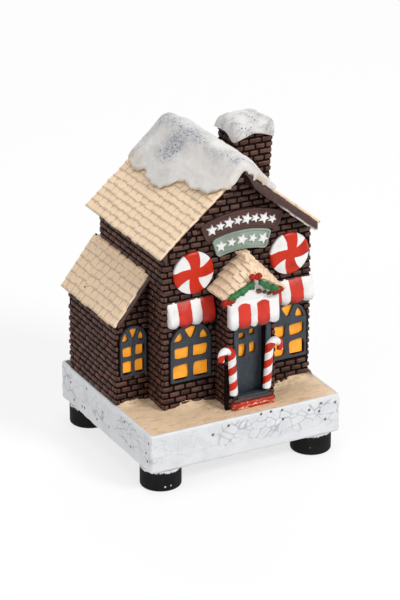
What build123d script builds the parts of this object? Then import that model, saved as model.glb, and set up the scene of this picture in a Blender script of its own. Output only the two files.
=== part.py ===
from build123d import *

import os
from math import asin, atan2, cos, degrees, radians, sin, tan

# A lit Christmas village house in hand-painted cast resin, on a square stone plinth with four feet.
#
# Millimetres, +Z up. The origin is on the table, under the centre of the plinth, and the shop front
# faces -Y. The house stands right of the centre, with a lean-to wing along its left side and a
# gabled entrance bay in the middle of its front. A round light unit with a coin cell, a slide switch
# and one lamp sits in a bore through the plinth and shines up into the hollow house.

# Plinth, ground and feet
PLINTH_H = 15.6
YARD_RIGHT = 3.2
YARD_FRONT = 6.2
YARD_BACK = 5.6
PLINTH_CORNER = 1.5
PLINTH_UNDERCUT = 1.2
RIM_W = 1.0
GROUND_T = 1.5
FOOT_D = 15.6
FOOT_H = 8.3
FOOT_INSET = 8.0
FOOT_ROUND = 0.8

# Main house
HOUSE_W = 61.4
HOUSE_D = 51.8
WALL_T = 3.0
EAVE_H = 61.9
ROOF_PITCH = 39.5
DECK_T = 3.2
TILE_T = 1.8
VERGE_FRONT = 5.1
VERGE_BACK = 4.2
EAVE_LEFT = 3.6
EAVE_RIGHT = 0.8
BOARD_EAVE = 0.8
COURSE = 3.6
COURSE_STEP = 0.5

# Lean-to wing on the left
WING_W = 13.4
WING_SETBACK = 12.2
WING_DROP = 8.1
WING_PITCH = 52.4
WING_DECK_T = 1.8
WING_TILE_T = 1.5
WING_EAVE = 1.0
WING_VERGE = 1.8
WING_BACK = 4.0

# Entrance bay, porch, door and step
BAY_W = 19.0
BAY_D = 10.4
PORCH_GAP = 0.6
PORCH_PITCH = 44.6
PORCH_T = 1.7
PORCH_SPAN = 26.6
PORCH_VERGE = 2.3
PORCH_HIP = 6.6
PORCH_DIP = 5.4
GABLE_T = 0.8
DOOR_W = 11.5
DOOR_TUCK = 1.4
DOOR_T = 1.6
DOOR_LAP = 1.0
DOOR_FIT = 0.1
DOOR_TRIM_W = 2.0
DOOR_TRIM_T = 0.6
DOOR_LIGHT_W = 3.2
DOOR_LIGHT_H = 5.0
DOOR_FANLIGHT_H = 2.4
DOOR_BAR = 1.8
DOOR_RAIL = 2.3
DOOR_LIGHT_TOP = 2.7
STEP_W = 17.5
STEP_D = 2.3
STEP_H = 4.1

# Windows
FRONT_SHIFT = 0.6
WINDOW_PIER = 2.2
WINDOW_SHIFT = 0.2
WINDOW_TUCK = 0.4
WINDOW_SILL = 10.8
WINDOW_ARCH = 7.6
WING_PIER = 1.4
WING_WINDOW_HEAD = 8.3
WING_WINDOW_SILL = 11.5
WING_WINDOW_ARCH = 5.0
FRAME_T = 1.0
FRAME_EDGE = 1.7
FRAME_BAR = 1.8
FAN_HUB_R = 1.8
FAN_TURN = 32.0
FRAME_LAP = 1.2
PANE_T = 0.9
PANE_FIT = 0.1

# Awnings
AWNING_SIDE = 1.2
AWNING_H = 9.6
AWNING_REACH = 3.2
AWNING_GAP = 0.25
PORCH_AWNING_SIDE = 0.8
PORCH_AWNING_H = 10.6
PORCH_AWNING_DROP = 15.1
AWNING_LIP = 1.4
AWNING_BULGE = 0.78

# Ornaments
SWEET_D = 16.3
SWEET_T = 2.2
SWEET_ROUND = 1.6
SWEET_GAP = 2.6
SWEET_EDGE = 10.6
SIGN_T = 1.4
SIGN_ROUND = 1.6
SIGN_SHIFT = 0.7
UPPER_SIGN_R = 45.0
UPPER_SIGN_BAND = 7.5
UPPER_SIGN_ANGLE = 47.0
UPPER_SIGN_DROP = 12.4
LOWER_SIGN_R = 40.0
LOWER_SIGN_BAND = 7.5
LOWER_SIGN_LAP = 0.85
SIGN_GAP = 0.4
CANE_D = 3.1
CANE_SINK = 0.9
CANE_LIFT = 2.4
CANE_BELOW = 5.2
CANE_HOOK_R = 2.7
CANE_DROP = 1.6
CANE_SHIFT = -1.1
CANE_SPACING = 13.9
GARLAND_D = 2.8
GARLAND_END_LEFT = 1.3
GARLAND_END_RIGHT = 4.1
BOW_LOBE_D = 2.8
BOW_KNOT_D = 2.0
BOW_SPREAD = 1.3
BOW_T = 2.7

# Chimney and snow
CHIMNEY_W = 15.5
CHIMNEY_D = 15.5
CHIMNEY_OFFSET = 18.0
CHIMNEY_FRONT = 20.4
CHIMNEY_RISE = 0.4
CHIMNEY_TAPER = 1.5
CAP_T = 7.0
CAP_OVER = 0.9
CAP_ROUND = 5.0
SNOW_T = 2.2
SNOW_CREST = 3.8
SNOW_CREST_RUN = 8.0
SNOW_OVER = 1.0
SNOW_LEFT = 20.0
SNOW_WAVE_DEEP = 4.0
SNOW_WAVES = (0.0, 0.9, 1.2, 0.6, 1.3, 1.2, -0.2, -0.5, -1.7)
SNOW_RIGHT = 15.5
SNOW_CHIMNEY_GAP = 1.2

# Light unit in the plinth's bore
UNIT_ROOM = 1.7
UNIT_WALL = 1.6
UNIT_FLOOR = 2.5
UNIT_FIT = 0.3
UNIT_TOP_GAP = 0.3
FLANGE_W = 5.0
FLANGE_T = 1.5
LID_T = 1.5
LIGHT_HOLE_D = 34.0
BOARD_T = 1.0
BOARD_Z = 9.2
BOARD_FIT = 0.2
POST_W = 2.6
POST_ANGLE = 24.0
POST_TURNS = (60.0, 112.0, 248.0, 300.0)
CELL_D = 20.0
CELL_T = 3.2
CELL_OFFSET = 4.0
CELL_FIT = 0.2
HOLDER_WALL = 1.5
CONTACT_T = 0.3
CONTACT_W = 4.0
CAP_LAP = 1.5
CAP_FLANGE_T = 1.1
CAP_COLLAR_OVER = 0.8
CAP_COLLAR_WALL = 1.6
CAP_COLLAR_H = 2.6
CAP_WEB = 0.6
CAP_FIT = 0.2
LUG_REACH = 1.4
LUG_T = 1.0
LUG_ANGLE = 40.0
LUG_PLAY = 6.0
LUG_START = 90.0
CAP_TURN = 60.0
COIN_SLOT_L = 16.0
COIN_SLOT_W = 2.2
COIN_SLOT_DEEP = 0.7
SWITCH_GAP = 3.3
SWITCH_W = 4.4
SWITCH_L = 8.6
SWITCH_H = 3.6
LEVER_W = 2.0
LEVER_L = 2.4
LEVER_OUT = 1.3
LEVER_FIT = 0.3
SWITCH_TRAVEL = 3.0
SCREW_D = 2.0
SCREW_L = 6.0
SCREW_HEAD_D = 3.8
SCREW_HEAD_H = 1.2
SCREW_FIT = 0.1
SCREW_COUNT = 3
LAMP_D = 5.0
LAMP_FLANGE_D = 5.8
LAMP_FLANGE_T = 1.0
LAMP_H = 8.6
LAMP_FIT = 0.2

# Places worked out from the sizes above
GROUND_Z = FOOT_H + PLINTH_H
BED_Z = GROUND_Z - GROUND_T
PLINTH_W = 2 * RIM_W + WING_W + HOUSE_W + YARD_RIGHT
PLINTH_D = 2 * RIM_W + YARD_FRONT + BAY_D + HOUSE_D + YARD_BACK
WING_LEFT = RIM_W - PLINTH_W / 2
HOUSE_LEFT = WING_LEFT + WING_W
HOUSE_RIGHT = HOUSE_LEFT + HOUSE_W
HOUSE_X = (HOUSE_LEFT + HOUSE_RIGHT) / 2
HOUSE_BACK = PLINTH_D / 2 - RIM_W - YARD_BACK
HOUSE_FRONT = HOUSE_BACK - HOUSE_D
HOUSE_Y = (HOUSE_FRONT + HOUSE_BACK) / 2
FRONT_X = HOUSE_X + FRONT_SHIFT
SLOPE = tan(radians(ROOF_PITCH))
DECK_RISE = DECK_T / cos(radians(ROOF_PITCH))
TILE_RISE = TILE_T / cos(radians(ROOF_PITCH))
GABLE_Z = GROUND_Z + EAVE_H + HOUSE_W / 2 * SLOPE
DECK_Z = GABLE_Z + DECK_RISE
RIDGE_Z = DECK_Z + TILE_RISE
ROOF_FRONT = HOUSE_FRONT - VERGE_FRONT
ROOF_BACK = HOUSE_BACK + VERGE_BACK
WING_FRONT = HOUSE_FRONT + WING_SETBACK
WING_SLOPE = tan(radians(WING_PITCH))
WING_DECK_RISE = WING_DECK_T / cos(radians(WING_PITCH))
WING_TILE_RISE = WING_TILE_T / cos(radians(WING_PITCH))
WING_TOP = GROUND_Z + EAVE_H - WING_DROP
WING_WALL_TOP = WING_TOP - WING_TILE_RISE - WING_DECK_RISE
BAY_FRONT = HOUSE_FRONT - BAY_D
BAY_LEFT = FRONT_X - BAY_W / 2
BAY_RIGHT = FRONT_X + BAY_W / 2
SIGN_X = FRONT_X + SIGN_SHIFT
UPPER_SIGN_TOP = GABLE_Z - UPPER_SIGN_DROP
LOWER_SIGN_TOP = UPPER_SIGN_TOP - UPPER_SIGN_BAND - SIGN_GAP
PORCH_Z = LOWER_SIGN_TOP - LOWER_SIGN_BAND - PORCH_GAP
PORCH_SLOPE = tan(radians(PORCH_PITCH))
PORCH_RISE = PORCH_T / cos(radians(PORCH_PITCH))
PORCH_EAVE_Z = PORCH_Z - PORCH_SPAN / 2 * PORCH_SLOPE
PORCH_LIP_Z = PORCH_Z - PORCH_DIP
PORCH_FRONT = BAY_FRONT - PORCH_VERGE
PORCH_CREST_Y = PORCH_FRONT + PORCH_HIP
PORCH_LIP_SLOPE = (PORCH_LIP_Z - PORCH_EAVE_Z) / (PORCH_SPAN / 2)
STEP_TOP = GROUND_Z + STEP_H
PORCH_AWNING_TOP = PORCH_Z - PORCH_AWNING_DROP
DOOR_TOP = PORCH_AWNING_TOP - PORCH_AWNING_H - DOOR_TUCK
AWNING_TOP = PORCH_EAVE_Z - PORCH_RISE - AWNING_GAP
WINDOW_W = (HOUSE_W - BAY_W) / 2 - 2 * WINDOW_PIER
WINDOW_H = AWNING_TOP - AWNING_H + WINDOW_TUCK - WINDOW_SILL - GROUND_Z
WINDOW_OFFSET = (HOUSE_W + BAY_W) / 4 + WINDOW_SHIFT
WING_WINDOW_X = HOUSE_LEFT - WING_W / 2
WING_WINDOW_W = WING_W - 2 * WING_PIER
WING_WINDOW_H = WING_WALL_TOP - WING_W / 2 * WING_SLOPE - WING_WINDOW_HEAD - WING_WINDOW_SILL - GROUND_Z
SWEET_Z = AWNING_TOP + SWEET_GAP + SWEET_D / 2
CANE_TOP = DOOR_TOP - CANE_BELOW
UNIT_X = HOUSE_X
UNIT_Y = HOUSE_Y
HOLDER_R = CELL_D / 2 + CELL_FIT + HOLDER_WALL
UNIT_R = CELL_OFFSET + HOLDER_R + UNIT_ROOM + UNIT_WALL
CAP_COLLAR_R = CELL_D / 2 + CAP_COLLAR_OVER
CAP_FLANGE_R = CAP_COLLAR_R + CAP_LAP
UNIT_BORE_R = UNIT_R + UNIT_FIT
FLANGE_R = UNIT_R + FLANGE_W
SCREW_R = UNIT_R + FLANGE_W / 2
BOARD_BOTTOM = FOOT_H + BOARD_Z
LID_TOP = BED_Z - UNIT_TOP_GAP
CELL_X = UNIT_X - CELL_OFFSET
FLOOR_TOP = FOOT_H + UNIT_FLOOR
COLLAR_TOP = FOOT_H + CAP_FLANGE_T + CAP_COLLAR_H
CELL_Z = COLLAR_TOP + CAP_FIT
SWITCH_X = CELL_X + HOLDER_R + SWITCH_GAP + SWITCH_W / 2


def block(x, y, z):
    """A box between two corners, given as (low, high) along each axis."""
    return Pos((x[0] + x[1]) / 2, (y[0] + y[1]) / 2, (z[0] + z[1]) / 2) * Box(
        x[1] - x[0], y[1] - y[0], z[1] - z[0]
    )


def facing(y):
    """An upright plane at y that faces the front: local x is +X and local y is +Z."""
    return Plane(origin=(0, y, 0), x_dir=(1, 0, 0), z_dir=(0, -1, 0))


def plate(outline, back, thickness):
    """An outline in X and Z made a plate that stands forward of the plane y = back."""
    return extrude(facing(back) * outline, thickness)


def prism(points, front, back):
    """A polygon in X and Z run from the front to the back."""
    return plate(make_face(Polyline(*points, close=True)), back, back - front)


def disc(x, y, low, high, radius):
    """An upright cylinder between two heights."""
    return Pos(x, y, (low + high) / 2) * Cylinder(radius, high - low)


def arched(width, height, rise):
    """A window outline on its sill: straight sides and an arched head, centred on local x = 0."""
    half, spring = width / 2, height - rise
    head = ThreePointArc((half, spring), (0, height), (-half, spring))
    sides = Polyline((-half, spring), (-half, 0), (half, 0), (half, spring))
    return make_face([head, *sides.edges()])


def sector(radius, band, angle):
    """A curved sign outline: a band under an arc, whose top middle is the local origin."""
    half, inner = radians(angle) / 2, radius - band
    centre = -radius

    def at(r, turn):
        return (r * sin(turn), centre + r * cos(turn))

    top = ThreePointArc(at(radius, -half), at(radius, 0), at(radius, half))
    foot = ThreePointArc(at(inner, half), at(inner, 0), at(inner, -half))
    right = Line(at(radius, half), at(inner, half))
    left = Line(at(inner, -half), at(radius, -half))
    face = make_face([top, right, foot, left])
    return fillet(face.vertices(), SIGN_ROUND)


def courses(ridge, eave_x, slope, thickness, front, back):
    """A layer of stepped tile courses from the eave up to the ridge, on the deck under it."""
    ridge_x, ridge_z = ridge
    pitch = atan2(slope, 1)
    side = 1 if eave_x > ridge_x else -1
    rise = thickness / cos(pitch)
    length = abs(eave_x - ridge_x) / cos(pitch)
    count = max(1, round(length / COURSE))
    bed_z = ridge_z - rise

    def at(down, lift):
        return (
            ridge_x + side * (down * cos(pitch) + lift * sin(pitch)),
            bed_z - down * sin(pitch) + lift * cos(pitch),
        )

    top = []
    for step in range(count):
        head = length * step / count
        nose = length * (step + 1) / count
        top += [at(head, thickness - COURSE_STEP), at(nose, thickness)]
    outline = [at(-thickness, 0), at(-thickness, thickness - COURSE_STEP)]
    outline += top + [at(length, 0)]
    layer = prism(outline, front, back)
    return layer & block(
        (min(ridge_x, eave_x), max(ridge_x, eave_x)),
        (front, back),
        (0, ridge_z + rise),
    )


def deck(ridge, left, right, slope, rise, front, back):
    """The brown board under the tiles: a bent sheet of even height that hangs over the walls."""
    x, z = ridge

    def under(at_x, drop):
        return (at_x, z - abs(at_x - x) * slope - drop)

    places = sorted({left, x, right})
    upper = [under(place, 0) for place in places]
    lower = [under(place, rise) for place in reversed(places)]
    return prism(upper + lower, front, back)


def plinth():
    """The stone-faced block, with a bed for the ground and a stepped bore for the light unit."""
    x = (-PLINTH_W / 2, PLINTH_W / 2)
    y = (-PLINTH_D / 2, PLINTH_D / 2)
    body = block(x, y, (FOOT_H, GROUND_Z))
    body = fillet(body.edges().filter_by(Axis.Z), PLINTH_CORNER)
    body = fillet(body.faces().sort_by(Axis.Z)[0].edges(), PLINTH_UNDERCUT)
    bed = block(
        (x[0] + RIM_W, x[1] - RIM_W), (y[0] + RIM_W, y[1] - RIM_W), (BED_Z, GROUND_Z)
    )
    bore = disc(UNIT_X, UNIT_Y, FOOT_H, BED_Z, UNIT_BORE_R)
    seat = disc(UNIT_X, UNIT_Y, FOOT_H, FOOT_H + FLANGE_T, FLANGE_R + UNIT_FIT)
    body -= [bed, bore, seat]
    pilots = [
        disc(px, py, FOOT_H, FOOT_H + SCREW_L + SCREW_FIT, SCREW_D / 2 + SCREW_FIT)
        for px, py in screw_places()
    ]
    return body - pilots


def ground():
    """The cream ground inside the plinth's rim, open over the lamp."""
    half_w, half_d = PLINTH_W / 2 - RIM_W, PLINTH_D / 2 - RIM_W
    slab = block((-half_w, half_w), (-half_d, half_d), (BED_Z, GROUND_Z))
    return slab - disc(UNIT_X, UNIT_Y, BED_Z, GROUND_Z, LIGHT_HOLE_D / 2)


def feet():
    """The four round black feet by name."""
    made = {}
    for end, y in (("front", -1), ("back", 1)):
        for side, x in (("left", -1), ("right", 1)):
            foot = disc(
                x * (PLINTH_W / 2 - FOOT_INSET),
                y * (PLINTH_D / 2 - FOOT_INSET),
                0,
                FOOT_H,
                FOOT_D / 2,
            )
            made[f"foot_{end}_{side}"] = fillet(
                foot.faces().sort_by(Axis.Z)[0].edges(), FOOT_ROUND
            )
    return made


def house_walls():
    """Four brick walls with two gables, open inside, with window and passage openings."""
    eave_z = GROUND_Z + EAVE_H
    outline = [
        (HOUSE_LEFT, GROUND_Z),
        (HOUSE_RIGHT, GROUND_Z),
        (HOUSE_RIGHT, eave_z),
        (HOUSE_X, GABLE_Z),
        (HOUSE_LEFT, eave_z),
    ]
    walls = prism(outline, HOUSE_FRONT, HOUSE_BACK)
    walls -= block(
        (HOUSE_LEFT + WALL_T, HOUSE_RIGHT - WALL_T),
        (HOUSE_FRONT + WALL_T, HOUSE_BACK - WALL_T),
        (GROUND_Z, GABLE_Z),
    )
    for x in window_places():
        walls -= window_hole(x, HOUSE_FRONT, WINDOW_SILL, WINDOW_W, WINDOW_H, WINDOW_ARCH)
    to_bay = block(
        (BAY_LEFT + WALL_T, BAY_RIGHT - WALL_T),
        (HOUSE_FRONT, HOUSE_FRONT + WALL_T),
        (GROUND_Z, DOOR_TOP),
    )
    to_wing = block(
        (HOUSE_LEFT, HOUSE_LEFT + WALL_T),
        (WING_FRONT + WALL_T, HOUSE_BACK - WALL_T),
        (GROUND_Z, GROUND_Z + WING_WINDOW_SILL + WING_WINDOW_H),
    )
    return walls - to_bay - to_wing


def window_places():
    """Where the two front windows are centred along X."""
    return (FRONT_X - WINDOW_OFFSET, FRONT_X + WINDOW_OFFSET)


def window_hole(x, face, sill, width, height, rise):
    """The opening through a front-facing wall, a lap smaller all round than the frame on it."""
    hole = arched(width - 2 * FRAME_LAP, height - 2 * FRAME_LAP, rise)
    foot = GROUND_Z + sill + FRAME_LAP
    return Pos(x, 0, foot) * plate(hole, face + WALL_T, WALL_T)


def window_lights(width, height, rise):
    """The open lights of a frame: four square ones under a fan of three in the arched head."""
    spring = height - rise
    bars = [
        Pos(0, spring / 2) * Rectangle(FRAME_BAR, spring),
        Pos(0, (spring + FRAME_EDGE) / 2) * Rectangle(width, FRAME_BAR),
        Pos(0, spring) * Rectangle(width, FRAME_BAR),
        Pos(0, spring) * Circle(FAN_HUB_R),
    ]
    for turn in (-FAN_TURN, FAN_TURN):
        bars.append(Pos(0, spring) * Rot(0, 0, turn) * Pos(0, rise / 2) * Rectangle(FRAME_BAR, rise))
    return offset(arched(width, height, rise), -FRAME_EDGE) - bars


def window_frame(x, face, sill, width, height, rise):
    """A slate frame on the wall around its lights."""
    frame = arched(width, height, rise) - window_lights(width, height, rise)
    return Pos(x, 0, GROUND_Z + sill) * plate(frame, face, FRAME_T)


def window_pane(x, face, sill, width, height, rise):
    """The amber sheet in the wall's opening, right behind the frame."""
    trim = FRAME_LAP + PANE_FIT
    pane = arched(width - 2 * trim, height - 2 * trim, rise)
    return Pos(x, 0, GROUND_Z + sill + trim) * plate(pane, face + PANE_T, PANE_T)


def windows():
    """The two shop windows and the wing's window: a frame and a pane each."""
    front = (HOUSE_FRONT, WINDOW_SILL, WINDOW_W, WINDOW_H, WINDOW_ARCH)
    side = (WING_FRONT, WING_WINDOW_SILL, WING_WINDOW_W, WING_WINDOW_H, WING_WINDOW_ARCH)
    left, right = window_places()
    made = {}
    for name, x, sizes in (
        ("left", left, front),
        ("right", right, front),
        ("wing", WING_WINDOW_X, side),
    ):
        made[f"window_frame_{name}"] = window_frame(x, *sizes)
        made[f"window_pane_{name}"] = window_pane(x, *sizes)
    return made


def main_roof():
    """The board and the two tiled slopes of the main roof."""
    left, right = HOUSE_LEFT - EAVE_LEFT, HOUSE_RIGHT + EAVE_RIGHT
    ridge = (HOUSE_X, RIDGE_Z)
    run = (ROOF_FRONT, ROOF_BACK)
    return {
        "roof_board": deck(
            (HOUSE_X, DECK_Z),
            HOUSE_LEFT - BOARD_EAVE,
            HOUSE_RIGHT + BOARD_EAVE,
            SLOPE,
            DECK_RISE,
            *run,
        ),
        "roof_tiles_left": courses(ridge, left, SLOPE, TILE_T, *run),
        "roof_tiles_right": courses(ridge, right, SLOPE, TILE_T, *run),
    }


def wing():
    """The lean-to: three walls, its board and its tiled slope."""
    board_z = WING_TOP - WING_TILE_RISE

    def under_board(x):
        return WING_WALL_TOP - (HOUSE_LEFT - x) * WING_SLOPE

    outline = [
        (WING_LEFT, GROUND_Z),
        (HOUSE_LEFT, GROUND_Z),
        (HOUSE_LEFT, under_board(HOUSE_LEFT)),
        (WING_LEFT, under_board(WING_LEFT)),
    ]
    walls = prism(outline, WING_FRONT, HOUSE_BACK)
    walls -= block(
        (WING_LEFT + WALL_T, HOUSE_LEFT),
        (WING_FRONT + WALL_T, HOUSE_BACK - WALL_T),
        (GROUND_Z, GABLE_Z),
    )
    sizes = (WING_WINDOW_SILL, WING_WINDOW_W, WING_WINDOW_H, WING_WINDOW_ARCH)
    walls -= window_hole(WING_WINDOW_X, WING_FRONT, *sizes)
    eave = WING_LEFT - WING_EAVE
    run = (WING_FRONT - WING_VERGE, HOUSE_BACK + WING_BACK)
    board = deck((HOUSE_LEFT, board_z), WING_LEFT, HOUSE_LEFT, WING_SLOPE, WING_DECK_RISE, *run)
    tiles = courses((HOUSE_LEFT, WING_TOP), eave, WING_SLOPE, WING_TILE_T, *run)
    return {"wing_walls": walls, "wing_roof_board": board, "wing_roof_tiles": tiles}


def under_plane(one, two, three):
    """A large block right under the plane through three places."""
    corner, along, across = Vector(*one), Vector(*two) - Vector(*one), Vector(*three) - Vector(*one)
    up = along.cross(across)
    if up.Z < 0:
        up = -up
    size = 2 * (PORCH_Z + PORCH_SPAN)
    return Plane(origin=corner, x_dir=along, z_dir=up) * Pos(0, 0, -size / 2) * Box(size, size, size)


def porch_slope(side, drop):
    """The space under one slope of the porch roof, lowered by drop, down to the ground."""
    eave_x = FRONT_X + side * PORCH_SPAN / 2
    outline = [
        (FRONT_X, GROUND_Z),
        (eave_x, GROUND_Z),
        (eave_x, PORCH_EAVE_Z - drop),
        (FRONT_X, PORCH_Z - drop),
    ]
    return prism(outline, PORCH_FRONT, HOUSE_FRONT)


def porch_hip(side, drop):
    """The space under the plane that leans back from the porch's front edge on one side."""
    return under_plane(
        (FRONT_X, PORCH_CREST_Y, PORCH_Z - drop),
        (FRONT_X, PORCH_FRONT, PORCH_LIP_Z - drop),
        (FRONT_X + side * PORCH_SPAN / 2, PORCH_FRONT, PORCH_EAVE_Z - drop),
    )


def under_porch(side):
    """The space under one side of the porch's tiles."""
    return porch_slope(side, PORCH_RISE) & porch_hip(side, PORCH_RISE)


def porch_tiles(side):
    """One tiled side of the porch roof: stepped courses that lean back to the ridge in front."""
    eave_x = FRONT_X + side * PORCH_SPAN / 2
    layer = courses((FRONT_X, PORCH_Z), eave_x, PORCH_SLOPE, PORCH_T, PORCH_FRONT, HOUSE_FRONT)
    layer += porch_slope(side, PORCH_RISE)
    return (layer & porch_hip(side, 0)) - under_porch(side)


def entrance_bay():
    """The brick bay: two cheeks and a gabled front with the doorway, open to the house behind."""
    bay = block((BAY_LEFT, BAY_RIGHT), (BAY_FRONT, HOUSE_FRONT), (GROUND_Z, PORCH_Z))
    bay = bay & (under_porch(-1) + under_porch(1))
    bay -= block(
        (BAY_LEFT + WALL_T, BAY_RIGHT - WALL_T),
        (BAY_FRONT + WALL_T, HOUSE_FRONT),
        (GROUND_Z, PORCH_Z),
    )
    doorway = block(
        (FRONT_X - DOOR_W / 2, FRONT_X + DOOR_W / 2),
        (BAY_FRONT, BAY_FRONT + WALL_T),
        (STEP_TOP, DOOR_TOP),
    )
    return bay - doorway


def porch():
    """The two tiled sides over the bay and the white gable panel under them."""
    panel = block(
        (BAY_LEFT, BAY_RIGHT), (BAY_FRONT - GABLE_T, BAY_FRONT), (PORCH_AWNING_TOP, PORCH_Z)
    )
    return {
        "porch_tiles_left": porch_tiles(-1),
        "porch_tiles_right": porch_tiles(1),
        "porch_gable": panel & (under_porch(-1) + under_porch(1)),
    }


def door():
    """The leaf behind the doorway with its four lights, the amber sheet and the slate trim."""
    half = DOOR_W / 2
    behind = BAY_FRONT + WALL_T
    leaf_half = BAY_W / 2 - WALL_T - DOOR_FIT
    leaf = block(
        (FRONT_X - leaf_half, FRONT_X + leaf_half),
        (behind, behind + DOOR_T),
        (STEP_TOP, DOOR_TOP + DOOR_LAP),
    )
    light_x = (DOOR_LIGHT_W + DOOR_BAR) / 2
    fan_z = DOOR_TOP - DOOR_LIGHT_TOP - DOOR_FANLIGHT_H / 2
    light_z = fan_z - DOOR_FANLIGHT_H / 2 - DOOR_RAIL - DOOR_LIGHT_H / 2
    for side in (-1, 1):
        for z, high in ((fan_z, DOOR_FANLIGHT_H), (light_z, DOOR_LIGHT_H)):
            light = Pos(FRONT_X + side * light_x, z) * Rectangle(DOOR_LIGHT_W, high)
            leaf -= plate(light, behind + DOOR_T, DOOR_T)
    sheet = block(
        (FRONT_X - DOOR_LIGHT_W - DOOR_BAR, FRONT_X + DOOR_LIGHT_W + DOOR_BAR),
        (behind + DOOR_T, behind + DOOR_T + PANE_T),
        (light_z - DOOR_LIGHT_H / 2 - DOOR_LAP, DOOR_TOP),
    )
    outer = half + DOOR_TRIM_W
    trim = block(
        (FRONT_X - outer, FRONT_X + outer),
        (BAY_FRONT - DOOR_TRIM_T, BAY_FRONT),
        (STEP_TOP, DOOR_TOP + DOOR_TRIM_W),
    )
    trim -= block(
        (FRONT_X - half, FRONT_X + half),
        (BAY_FRONT - DOOR_TRIM_T, BAY_FRONT),
        (STEP_TOP, DOOR_TOP),
    )
    step = block(
        (FRONT_X - STEP_W / 2, FRONT_X + STEP_W / 2),
        (BAY_FRONT - STEP_D, BAY_FRONT),
        (GROUND_Z, STEP_TOP),
    )
    return {"door": leaf, "door_panes": sheet, "door_trim": trim, "doorstep": step}


def awning(x, face, top, width, height):
    """A bulging awning on a wall: flat back, arched top and a short level lip."""
    low = top - height
    profile = [
        Line((0, low), (0, top)),
        ThreePointArc(
            (0, top),
            (AWNING_REACH * AWNING_BULGE, top - (height - AWNING_LIP) * (1 - AWNING_BULGE) * 2),
            (AWNING_REACH, low + AWNING_LIP),
        ),
        Line((AWNING_REACH, low + AWNING_LIP), (AWNING_REACH, low)),
        Line((AWNING_REACH, low), (0, low)),
    ]
    side = Plane(origin=(x - width / 2, face, 0), x_dir=(0, -1, 0), z_dir=(-1, 0, 0))
    return extrude(side * make_face(profile), -width)


def awnings(frames, trim):
    """Three striped awnings, each let in over the frame or trim that it covers."""
    made = {}
    width = WINDOW_W + 2 * AWNING_SIDE
    for name, x in zip(("left", "right"), window_places()):
        body = awning(x, HOUSE_FRONT, AWNING_TOP, width, AWNING_H)
        made[f"awning_{name}"] = body - frames[f"window_frame_{name}"]
    width = BAY_W + 2 * PORCH_AWNING_SIDE
    body = awning(FRONT_X, BAY_FRONT, PORCH_AWNING_TOP, width, PORCH_AWNING_H)
    made["awning_porch"] = body - trim
    return made


def sweets():
    """The two round peppermints on the front wall."""
    made = {}
    for name, side in (("left", -1), ("right", 1)):
        place = Pos(SIGN_X + side * (HOUSE_W / 2 - SWEET_EDGE), SWEET_Z)
        body = plate(place * Circle(SWEET_D / 2), HOUSE_FRONT, SWEET_T)
        rim = body.faces().sort_by(Axis.Y)[0].edges()
        made[f"peppermint_{name}"] = fillet(rim, SWEET_ROUND)
    return made


def signs():
    """The two curved sign boards over the porch."""
    upper = sector(UPPER_SIGN_R, UPPER_SIGN_BAND, UPPER_SIGN_ANGLE)
    between_sweets = HOUSE_W / 2 - SWEET_EDGE - SWEET_D / 2
    half_turn = asin((between_sweets + LOWER_SIGN_LAP) / LOWER_SIGN_R)
    lower = sector(LOWER_SIGN_R, LOWER_SIGN_BAND, 2 * degrees(half_turn))
    return {
        "sign_upper": plate(Pos(SIGN_X, UPPER_SIGN_TOP) * upper, HOUSE_FRONT, SIGN_T),
        "sign_lower": plate(Pos(SIGN_X, LOWER_SIGN_TOP) * lower, HOUSE_FRONT, SIGN_T),
    }


def candy_cane(x, side):
    """A cane over the step, flat against the door trim, that hooks away from the door."""
    face = BAY_FRONT - DOOR_TRIM_T
    y = face - CANE_D / 2 + CANE_SINK
    low = STEP_TOP + CANE_LIFT
    spring = CANE_TOP - CANE_D / 2 - CANE_HOOK_R
    far = x + side * 2 * CANE_HOOK_R
    top = (x + side * CANE_HOOK_R, y, spring + CANE_HOOK_R)
    path = Wire(
        [
            Edge.make_line((x, y, low), (x, y, spring)),
            Edge.make_three_point_arc((x, y, spring), top, (far, y, spring)),
            Edge.make_line((far, y, spring), (far, y, spring - CANE_DROP)),
        ]
    )
    cane = sweep(Plane(origin=(x, y, low), z_dir=(0, 0, 1)) * Circle(CANE_D / 2), path)
    clear = block(
        (x - CANE_SPACING, x + CANE_SPACING), (face - CANE_D, face), (GROUND_Z, PORCH_Z)
    )
    return cane & clear


def candy_canes():
    """The pair of canes beside the door."""
    middle = FRONT_X + CANE_SHIFT
    return {
        f"candy_cane_{name}": candy_cane(middle + side * CANE_SPACING / 2, side)
        for name, side in (("left", -1), ("right", 1))
    }


def bow(x, z):
    """A small bow on the porch's front edge: a knot between two round loops, rounded in front."""
    loops = [Pos(side * BOW_SPREAD, 0) * Circle(BOW_LOBE_D / 2) for side in (-1, 1)]
    outline = Circle(BOW_KNOT_D / 2) + loops
    return plate(Pos(x, z) * outline, PORCH_FRONT, BOW_T)


def garland():
    """A green garland along the porch's front edge with a red bow at its top and at each end."""
    y = PORCH_FRONT - GARLAND_D / 2
    peak_z = PORCH_LIP_Z - PORCH_RISE / 3
    made = {"bow_top": bow(FRONT_X, peak_z)}
    for name, side, short in (("left", -1, GARLAND_END_LEFT), ("right", 1, GARLAND_END_RIGHT)):
        reach = PORCH_SPAN / 2 - short
        end_x, low_z = FRONT_X + side * reach, peak_z - reach * PORCH_LIP_SLOPE
        made[f"bow_{name}"] = bow(end_x, low_z)
        run = Edge.make_line((FRONT_X, y, peak_z), (end_x, y, low_z))
        swag = sweep(Plane(origin=run @ 0, z_dir=run % 0) * Circle(GARLAND_D / 2), run)
        own_half = block(
            (min(FRONT_X, end_x), max(FRONT_X, end_x)),
            (PORCH_FRONT - GARLAND_D, PORCH_FRONT),
            (GROUND_Z, RIDGE_Z),
        )
        swag = swag & own_half
        made[f"garland_{name}"] = swag - made["bow_top"] - made[f"bow_{name}"]
    return made


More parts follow.
